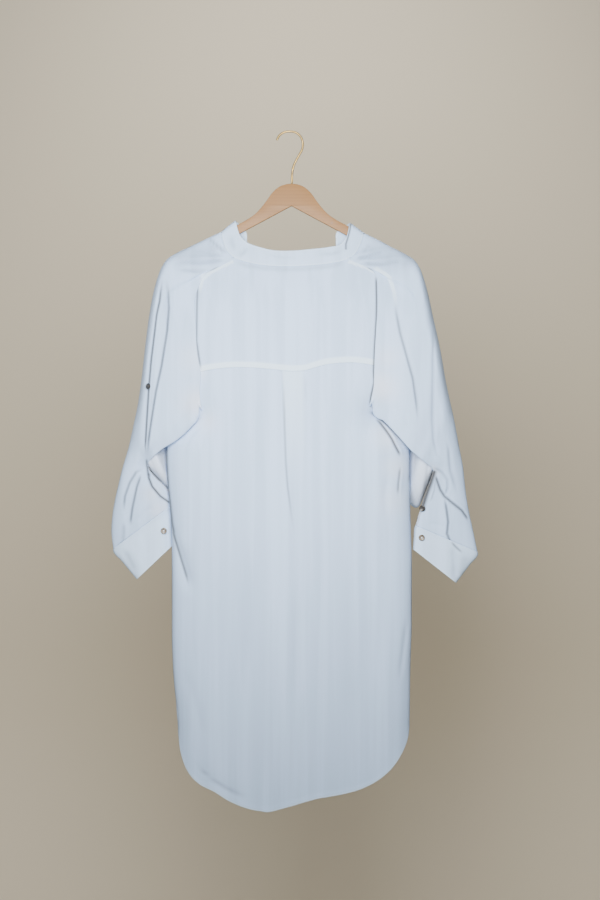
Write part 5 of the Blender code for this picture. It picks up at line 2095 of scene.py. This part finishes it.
@dataclass
class FrontPanel:
    """Front panel, cut on the fold, with an open V neck and the higher hem.

    Attributes:
        step: distance between rows and between columns.
        step_hem: distance between rows on the hem.
        flat: width and length of the cut, in metres.
        area: flat area of the cut.
    """

    step: float = 3.6
    step_hem: float = 1.1
    flat: tuple[float, float] = (0.45, 0.83)
    area: float = 0.335

    def shell(self) -> Shell:
        """Work out the front panel's cloth.

        Returns:
            The shell.
        """
        neck_left = neck_front(Side.LEFT)[CORNER:, 2:]
        neck_right = neck_front(Side.RIGHT)[CORNER:-1, 2:][::-1]
        left_line = body_edge(Side.LEFT, neck_left[0])
        right_line = body_edge(Side.RIGHT, neck_right[-1])
        left = edge_rows(left_line, panel_rows(Side.LEFT, YOKE_TOP_Z, FRONT_SIDE_Z, FRONT_ROWS))
        right = edge_rows(right_line,
                          panel_rows(Side.RIGHT, YOKE_TOP_Z, FRONT_SIDE_Z, FRONT_ROWS))
        top = with_shoulders(np.concatenate([neck_left, neck_right]), left_line, right_line)
        fractions = crowded(len(top), FRONT_CROWD)
        columns = np.repeat(fractions[None, :], len(left), axis=0)
        hem_x = left[-1, 0] + (right[-1, 0] - left[-1, 0]) * fractions
        hem_z = FRONT_SIDE_Z - FRONT_HEM_DROP * np.sin(math.pi * fractions) ** FRONT_HEM_FULLNESS
        off_centre = np.abs(np.linspace(-1.0, 1.0, len(top)))[:, None]
        top_fade = FRONT_FADE_MIDDLE + (FRONT_FADE_SIDES - FRONT_FADE_MIDDLE) * smooth(
            off_centre / FRONT_FADE_REACH)
        plan = panel_plan(left, right, top, np.stack([hem_x, hem_z], axis=-1), columns,
                          top_fade, FRONT_FADE_FOOT)
        plan = finer_plan(plan, self.step, self.step, (HEM, self.step_hem))
        depth, dark, rolled = hung_layer(plan, FRONT_FOLDS, FRONT_CREASES, RIPPLE_FRONT)
        grid = np.stack([plan[..., 0], depth, plan[..., 1]], axis=-1)
        trim_rows(grid, first=True, last=False)
        return Shell("front_panel", "front_cloth", grid, rolled,
                     np.zeros_like(rolled), dark, self.flat, self.area)


@dataclass
class CollarBand:
    """Narrow standing band round the neck and down both sides of the V.

    Attributes:
        rows: rows of points from its top edge to the neck seam.
        step: distance between points along it.
        swell: how far its middle stands out.
        limit: share of the half depth that its creases may take.
        pale: paleness of its doubled cloth, then at its edges.
        flat: length and height of the cut, in metres.
        area: flat area of the cut.
    """

    rows: int = 20
    step: float = 1.7
    swell: float = 0.5
    limit: float = 0.5
    pale: tuple[float, float] = (0.15, 0.6)
    flat: tuple[float, float] = (0.80, 0.036)
    area: float = 0.025

    def shell(self) -> Shell:
        """Work out the collar band's cloth.

        Returns:
            The shell.
        """
        back = neck_back()
        right = neck_front(Side.RIGHT)[1:]
        left = neck_front(Side.LEFT)[::-1][1:]
        ring = np.concatenate([back, right, left])
        runs = run_lengths(ring[:, 2:])
        at = np.linspace(0.0, runs[-1], round(runs[-1] / self.step) + 1)
        fine = curve_through(runs, ring, at)
        on_back = (at <= runs[len(back) - 1])[None, :]
        across = np.linspace(0.0, 1.0, self.rows)[:, None]
        x = fine[:, 0] + (fine[:, 2] - fine[:, 0]) * across
        z = fine[:, 1] + (fine[:, 3] - fine[:, 1]) * across
        sink, dark = crease_marks(COLLAR_CREASES, x, z)
        half = body_half(x, z)
        bulge = self.swell * np.sin(math.pi * across) - np.where(on_back, sink, 0.0)
        y = np.where(on_back, -1.0, 1.0) * (half + np.maximum(bulge, -self.limit * half))
        grid = np.stack([x, y, z], axis=-1)
        trim_rows(grid, first=False, last=True)
        grid[:, -1] = grid[:, 0]
        pale = np.full_like(x, self.pale[0])
        pale[[0, 1, -2, -1]] = self.pale[1]
        return Shell("collar_band", "collar_cloth", grid, pale,
                     np.zeros_like(x), np.where(on_back, dark, 0.0), self.flat, self.area,
                     DOUBLE_WALL, True)


@dataclass
class Sleeve:
    """Sleeve from the collar and armhole to the cuff seam.

    Attributes:
        side: which arm.
        flat: width and length of the cut, in metres.
        area: flat area of the cut.
        step_down: distance between rings.
        step_back: distance between points across the side that faces -Y.
        step_front: distance between points across the rest.
    """

    side: Side
    flat: tuple[float, float] = (0.42, 0.56)
    area: float = 0.15
    step_down: float = 2.5
    step_back: float = 1.6
    step_front: float = 4.5

    def shell(self) -> Shell:
        """Work out the sleeve's cloth.

        Returns:
            The shell.
        """
        control = sleeve_control(self.side)
        trim_rows(control, first=True, last=True)
        padded, stations, start, end = padded_tube(control)
        fold = stations[2 + RING_HALF - 1]
        across = np.concatenate([
            np.linspace(start, fold, round((fold - start) / self.step_back) + 1),
            np.linspace(fold, end, round((end - fold) / self.step_front) + 1)[1:]])
        down = zoned((mean_stations(padded)[-1], self.step_down))
        grid = refine(padded, down, across)
        grid[:, -1] = grid[:, 0]
        front_fold = stations[2 + RING_HALF + 2 * len(UNDERSIDE) + 1]
        on_back = smooth((across - start) / OUTER_EASE) * smooth((fold - across) / FOLD_EASE)
        on_front = smooth((across - front_fold) / FOLD_EASE) * smooth((end - across) / OUTER_EASE)
        x, z = grid[..., 0].copy(), grid[..., 2].copy()
        pick = self.side.pick
        lift, pale = band_cover(pick(SLEEVE_BANDS_LEFT, SLEEVE_BANDS_RIGHT), x, z)
        back, dark = crease_marks(pick(SLEEVE_CREASES_LEFT, SLEEVE_CREASES_RIGHT), x, z)
        front, shade = crease_marks(pick(SLEEVE_FRONT_LEFT, SLEEVE_FRONT_RIGHT), x, z)
        # Shade painted in the back's creases stays on the back side and the forearm's underside,
        # and the front's on the front side
        narrow = (z < FOREARM_Z) & (across < front_fold)
        dark = np.where((across < fold + PAINTED_SHADE_REACH) | narrow, dark, 0.0)
        dark = np.where(across > front_fold - PAINTED_SHADE_REACH, shade, dark)
        stretch, begin, share = SLEEVE_RIPPLE
        waves = ripple(x * stretch + begin, z) * share
        grid[..., 1] += on_back * (back + waves - lift) - on_front * (front + waves)
        # Painted light in patches on the sleeve's back, and over its shaded underside between the
        # folds
        painted_light = painted_light_patches(pick(SLEEVE_PAINTED_LIGHT_LEFT, SLEEVE_PAINTED_LIGHT_RIGHT), x, z) * on_back
        painted_light = np.maximum(painted_light, UNDER_PAINTED_LIGHT * smooth((across - fold) / PAINTED_LIGHT_EASE)
                          * smooth((front_fold - across) / PAINTED_LIGHT_EASE))
        word = self.side.word
        return Shell("sleeve_" + word, "sleeve_cloth_" + word, grid, pale * on_back, painted_light, dark,
                     self.flat, self.area, WALL, True)


@dataclass
class Cuff:
    """Cuff band from the cuff seam to its rim.

    Attributes:
        side: which arm.
        step: distance between points.
        rim: length of the zone at the rim, and the distance between rings there.
        crease_ease: how creases ease in behind the side that faces -Y.
        pale: paleness of its doubled cloth.
        flat: length and height of the cut, in metres.
        area: flat area of the cut.
    """

    side: Side
    step: float = 1.8
    rim: tuple[float, float] = (3.0, 1.0)
    crease_ease: float = 6.0
    pale: float = 0.35
    flat: tuple[float, float] = (0.25, 0.072)
    area: float = 0.0165

    def shell(self) -> Shell:
        """Work out the cuff's cloth.

        Returns:
            The shell.
        """
        plan = self.side.pick(CUFF_LEFT, CUFF_RIGHT)
        control = cuff_control(sleeve_control(self.side), plan)
        trim_rows(control, first=True, last=False)
        padded, _stations, start, end = padded_tube(control)
        across = np.linspace(start, end, round((end - start) / self.step) + 1)
        down = zoned((mean_stations(padded)[-1] - self.rim[0], self.step), self.rim)
        grid = refine(padded, down, across)
        middle = grid[..., 1].mean(axis=1, keepdims=True)
        sink, dark = crease_marks(CUFF_CREASES, grid[..., 0], grid[..., 2])
        on_back = smooth((middle - grid[..., 1]) / self.crease_ease)
        grid[..., 1] += on_back * sink
        grid[:, -1] = grid[:, 0]
        pale = np.full_like(sink, self.pale)
        # A painted highlight along the rim
        pale[-2:] = 1.0
        word = self.side.word
        return Shell("cuff_" + word, "cuff_cloth_" + word, grid, pale, np.zeros_like(sink),
                     dark * on_back, self.flat, self.area, DOUBLE_WALL, True)


@dataclass
class Button:
    """Four-hole button, sewn on where its solid is.

    Attributes:
        node: the solid that it stands for.
        slot: the record's material slot.
        radius: its radius.
        thick: its thickness.
        hole: radius of a hole.
        spread: distance of the holes' centres from the middle, along x and along y.
        sides: sides of its outline.
        crisp: angle from which its edges stay sharp, in degrees.
        strand: half width and half height of a thread across it.
        strand_aside: how far a thread lies from the middle.
        strand_lift: how far it lies over the button's floor.
        strand_sink: share of a hole's radius that it reaches into the hole.
        turn: how far its cloth turns it about the vertical, in degrees.
        shift: how far its cloth carries it from its solid's place.
    """

    node: str
    slot: str
    radius: float = 5.5
    thick: float = 2.2
    hole: float = 0.75
    spread: float = 1.25
    sides: int = 40
    crisp: float = 50.0
    strand: tuple[float, float] = (0.30, 0.34)
    strand_aside: float = 0.28
    strand_lift: float = 0.25
    strand_sink: float = 0.4
    turn: float = 0.0
    shift: tuple[float, float, float] = (0.0, 0.0, 0.0)

    def place(self) -> Matrix:
        """Read the button's turn and place from its solid.

        Returns:
            The turn and place.
        """
        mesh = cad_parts[self.node].data
        points = np.zeros(len(mesh.vertices) * 3, np.float32)
        mesh.vertices.foreach_get("co", points)
        points = points.reshape(-1, 3).astype(float)
        middle = (points.min(axis=0) + points.max(axis=0)) * 0.5
        axis = np.linalg.svd(points - points.mean(axis=0), full_matrices=False)[2][-1]
        axis *= -np.sign(axis[1])
        turn = Vector(axis).to_track_quat("Z", "Y").to_matrix().to_4x4()
        swing = Matrix.Rotation(math.radians(self.turn), 4, "Z")
        return Matrix.Translation(Vector(middle) + Vector(self.shift) * MM) @ swing @ turn

    def build(self, finish: ButtonShell, thread: Material) -> None:
        """Build the button and the thread through its holes.

        Args:
            finish: the button's finish.
            thread: the thread's material.
        """
        bm = bmesh.new()
        points = [bm.verts.new((r * self.radius * MM, 0.0, h * self.thick * MM))
                  for r, h in BUTTON_SECTION]
        edges = [bm.edges.new(pair) for pair in zip(points[:-1], points[1:])]
        bmesh.ops.spin(bm, geom=points + edges, cent=(0, 0, 0), axis=(0, 0, 1),
                       angle=2.0 * math.pi, steps=self.sides, use_merge=True)
        name = self.node + "_shell"
        mesh = finished_mesh(name, bm)
        weld(mesh)
        drilled = self.drill(mesh)
        place = self.place()
        drilled.transform(place)
        piece = add_piece(name, drilled, finish.material(name), self.slot)
        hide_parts(self.node)
        self.sew_on(place, thread)

    def drill(self, mesh: Mesh) -> Mesh:
        """Cut the four holes.

        Args:
            mesh: the button without holes.

        Returns:
            The button with its holes.
        """
        bm = bmesh.new()
        for x in (-self.spread, self.spread):
            for y in (-self.spread, self.spread):
                bmesh.ops.create_cone(bm, cap_ends=True, segments=12,
                                      radius1=self.hole * MM, radius2=self.hole * MM,
                                      depth=self.thick * 3.0 * MM,
                                      matrix=Matrix.Translation((x * MM, y * MM, 0.0)))
        drill = bpy.data.objects.new("drill", finished_mesh("drill", bm))
        link(drill)
        blank = bpy.data.objects.new("blank", mesh)
        cut = blank.modifiers.new("holes", "BOOLEAN")
        cut.operation = "DIFFERENCE"
        cut.solver = "EXACT"
        cut.object = drill
        drilled = worked_out(blank)
        bpy.data.objects.remove(drill)
        drilled.shade_smooth()
        drilled.set_sharp_from_angle(angle=math.radians(self.crisp))
        return drilled

    def sew_on(self, place: Matrix, thread: Material) -> None:
        """Lay the thread across the button, hole to hole, as two crossing pairs.

        Args:
            place: the button's place.
            thread: the thread's material.
        """
        top = self.thick * BUTTON_SECTION[-1][1] + self.strand_lift
        reach = self.spread * math.sqrt(2.0) + self.hole * self.strand_sink
        size = Matrix.Diagonal((self.strand[0] * MM, reach * MM, self.strand[1] * MM, 1.0))
        spot = place @ Matrix.Translation((0.0, 0.0, top * MM))
        bm = bmesh.new()
        for turn in (45.0, 135.0):
            swing = Matrix.Rotation(math.radians(turn), 4, "Z")
            for shift in (-self.strand_aside, self.strand_aside):
                aside = Matrix.Translation((shift * MM, 0.0, 0.0))
                bmesh.ops.create_icosphere(bm, subdivisions=2, radius=1.0,
                                           matrix=spot @ swing @ aside @ size)
        name = self.node + "_thread"
        add_piece(name, finished_mesh(name, bm), thread, self.slot)


@dataclass
class Hanger:
    """Flat wooden hanger with its steel wire hook.

    Attributes:
        thick: the board's thickness.
        edge: radius of its rounded edges.
        wire: radius of the wire.
        tip: share of the wire's thickness at its rounded tip.
        steps: points along the neck's curve, along an arm and along the hook.
        crisp: angle from which the board's and the wire's edges stay sharp, in degrees.
    """

    thick: float = 12.0
    edge: float = 4.0
    wire: float = 1.8
    tip: float = 0.6
    steps: tuple[int, int, int] = (26, 40, 120)
    crisp: tuple[float, float] = (40.0, 60.0)

    def wood_mesh(self) -> Mesh:
        """Cut the hanger's outline from board and round its edges.

        Returns:
            The board's mesh.
        """
        upper = along(WOOD_TOP[:9], np.linspace(0.0, 1.0, self.steps[0]))[:-1]
        arm = along(WOOD_TOP[8:] + WOOD_TIP + WOOD_UNDER[:2],
                    np.linspace(0.0, 1.0, self.steps[1]))
        half = [*upper, *arm, *WOOD_UNDER[2:]]
        outline = half + [(-x, z) for x, z in half[-2:0:-1]]
        mesh = drawn("hanger_outline", [(x, z, 0.0) for x, z in outline], True, 1.0,
                     dimensions="2D", fill_mode="BOTH", extrude=self.thick * 0.5 * MM)
        mesh.transform(Matrix.Rotation(math.pi / 2.0, 4, "X"))
        weld(mesh)
        bm = bmesh.new()
        bm.from_mesh(mesh)
        rim = [e for e in bm.edges if e.is_manifold and e.calc_face_angle() > math.radians(60.0)
               and abs(e.verts[0].co.y - e.verts[1].co.y) < 1e-6]
        bmesh.ops.bevel(bm, geom=rim, offset=self.edge * MM, segments=4, profile=0.5,
                        affect="EDGES", material=-1, clamp_overlap=True)
        bm.to_mesh(mesh)
        bm.free()
        mesh.shade_smooth()
        mesh.set_sharp_from_angle(angle=math.radians(self.crisp[0]))
        return mesh

    def build_wood(self) -> None:
        """Build the wood in place of its solid."""
        piece = add_piece("hanger_wood_birch", self.wood_mesh(),
                          Birch().material("birch_lacquered"), "birch")
        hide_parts("hanger_wood")

    def build_hook(self) -> None:
        """Build the hook in place of its solid."""
        points = along(HOOK, np.linspace(0.0, 1.0, self.steps[2]))
        mesh = drawn("hook_wire", [(x, 0.0, z) for x, z in points], False, self.tip,
                     dimensions="3D", bevel_depth=self.wire * MM, bevel_resolution=6,
                     use_fill_caps=True)
        weld(mesh)
        mesh.set_sharp_from_angle(angle=math.radians(self.crisp[1]))
        piece = add_piece("hanger_hook_wire", mesh, HookSteel().material("hook_wire"),
                          "hook_steel")
        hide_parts("hanger_hook")


@dataclass
class Stage:
    """Plain pale floor and backdrop, soft light, and the camera; sizes in metres.

    Attributes:
        floor_z: height of the floor.
        wall_y: distance of the backdrop behind the shirt.
        bend: radius of the curve between them.
        floor_run: length of the floor.
        wall_run: height of the backdrop over the curve.
        half_width: half width of both.
        view_height: height that the picture takes in at the shirt.
        centre: x and z at the middle of the picture.
        lens: focal length, in millimetres.
        sensor: the sensor along the picture's long side, in millimetres.
        focus_y: y of the cloth that view_height is measured at.
    """

    floor_z: float = -1.62
    wall_y: float = 1.5
    bend: float = 0.5
    floor_run: float = 3.5
    wall_run: float = 3.2
    half_width: float = 3.5
    view_height: float = 1.584
    centre: tuple[float, float] = (0.015, -0.561)
    lens: float = 110.0
    sensor: float = 36.0
    focus_y: float = -0.018

    def build(self) -> None:
        """Set the stage."""
        self.backdrop()
        self.lights()
        self.camera()

    def backdrop(self) -> None:
        """Build the floor and the backdrop that it curves up into, as one sheet."""
        bm = bmesh.new()
        bmesh.ops.create_grid(bm, x_segments=8, y_segments=60, size=1.0)
        curve_run = self.bend * math.pi / 2.0
        total = self.floor_run + curve_run + self.wall_run
        for vertex in bm.verts:
            run = (vertex.co.y + 1.0) * 0.5 * total - self.floor_run
            angle = min(max(run / self.bend, 0.0), math.pi / 2.0)
            y = self.wall_y - self.bend * (1.0 - math.sin(angle)) + min(run, 0.0)
            z = self.floor_z + self.bend * (1.0 - math.cos(angle)) + max(run - curve_run, 0.0)
            vertex.co = (vertex.co.x * self.half_width, y, z)
        mesh = finished_mesh("stage_backdrop", bm)
        mesh.materials.append(StagePaint().material("stage_paint"))
        sheet = bpy.data.objects.new("stage_backdrop", mesh)
        link(sheet)

    def lights(self) -> None:
        """Set a soft key by the camera, a fill, a light on the backdrop and a dim sky."""
        for name, place, target, size, power, spread in (
                ("key", (-0.08, -1.2, -0.25), (0.0, 0.0, -0.45), 0.7, 13.6, 92.0),
                ("fill", (0.4, -2.4, 0.2), (0.0, 0.0, -0.3), 1.0, 6.0, 180.0),
                ("backdrop", (0.0, 0.5, 0.8), (0.0, 1.5, -0.9), 0.7, 12.0, 180.0)):
            data = bpy.data.lights.new(name, "AREA")
            data.shape = "SQUARE"
            data.size = size
            data.energy = power
            data.spread = math.radians(spread)
            data.color = (1.0, 0.995, 0.985)
            light = bpy.data.objects.new(name, data)
            light.location = place
            aim = Vector(target) - Vector(place)
            light.rotation_euler = aim.to_track_quat("-Z", "Y").to_euler()
            light.visible_camera = False
            link(light)
        world = bpy.data.worlds.new("studio")
        bpy.context.scene.world = world
        world.use_nodes = True
        sky = world.node_tree.nodes["Background"]
        sky.inputs["Color"].default_value = (0.93, 0.95, 1.0, 1.0)
        sky.inputs["Strength"].default_value = 0.15

    def camera(self) -> None:
        """Set a level camera that faces the shirt's back."""
        data = bpy.data.cameras.new("camera")
        data.lens = self.lens
        data.sensor_width = self.sensor
        distance = self.view_height * self.lens / self.sensor
        camera = bpy.data.objects.new("camera", data)
        camera.location = (self.centre[0], self.focus_y - distance, self.centre[1])
        camera.rotation_euler = (math.pi / 2.0, 0.0, 0.0)
        link(camera)
        bpy.context.scene.camera = camera


@dataclass
class Shirt:
    """The whole shirt: its cloth, stitching and buttons.

    Attributes:
        stitch: its stitches.
        cloth: its cloth.
        edge: distance of the stitches from the edges of collar and cuffs.
        close: their distance from the yoke seam and from a hem's upper edge.
        band: distance of the yoke's second line from its band's upper edge.
    """

    stitch: StitchRun = field(default_factory=StitchRun)
    cloth: Crepe = field(default_factory=Crepe)
    edge: float = 1.6
    close: float = 0.9
    band: float = 1.4

    def build(self) -> None:
        """Build every cloth piece with its stitching."""
        thread = Thread().material("sewing_thread")
        hem = ((HEM - self.close, True),)
        both = ((self.edge, False), (self.edge, True))
        plans = (
            (Yoke().shell(), ((self.close, True), (YOKE_BAND - self.band, True)), 1.0),
            (BackPanel().shell(), hem, 1.0),
            (FrontPanel().shell(), hem, -1.0),
            (CollarBand().shell(), both, 1.0),
            (Sleeve(Side.LEFT).shell(), (), 1.0),
            (Sleeve(Side.RIGHT).shell(), (), -1.0),
            (Cuff(Side.LEFT).shell(), both, 1.0),
            (Cuff(Side.RIGHT).shell(), both, -1.0),
        )
        for shell, lines, outward in plans:
            piece = shell.build(self.cloth.material(shell.name))
            stitches = []
            for distance, from_foot in lines:
                rows, columns = shell.beside_edge(distance, from_foot)
                stitches += self.stitch.frames(shell, rows, columns, outward)
            if stitches:
                self.stitch.sew(shell.node + "_stitches", stitches, thread, shell.slot)
            LOG.info("%s: %.4f square metres, %d stitches", piece.name, shell.spread(),
                     len(stitches))
        self.build_buttons(thread)

    def build_buttons(self, thread: Material) -> None:
        """Build the cuffs' buttons and the tabs' darker ones.

        Args:
            thread: the material of the cuff buttons' thread.
        """
        horn = ButtonShell((0.08, 0.06, 0.04, 1.0), (0.26, 0.21, 0.15, 1.0))
        smoke = ButtonShell((0.015, 0.015, 0.015, 1.0), (0.05, 0.045, 0.04, 1.0))
        dark_thread = Thread((0.05, 0.045, 0.04, 1.0)).material("tab_thread")
        for side, (turn, shift) in zip(Side, TAB_BUTTONS):
            cuff, tab = "cuff_button_" + side.word, "tab_button_" + side.word
            Button(cuff, cuff).build(horn, thread)
            Button(tab, tab, turn=turn, shift=shift).build(smoke, dark_thread)


def main() -> None:
    """Build the shirt, its hanger and the stage."""
    logging.basicConfig(level=logging.INFO, format="%(message)s")
    Stage().build()
    hanger = Hanger()
    hanger.build_wood()
    hanger.build_hook()
    Shirt().build()


if __name__ == "__main__":
    main()
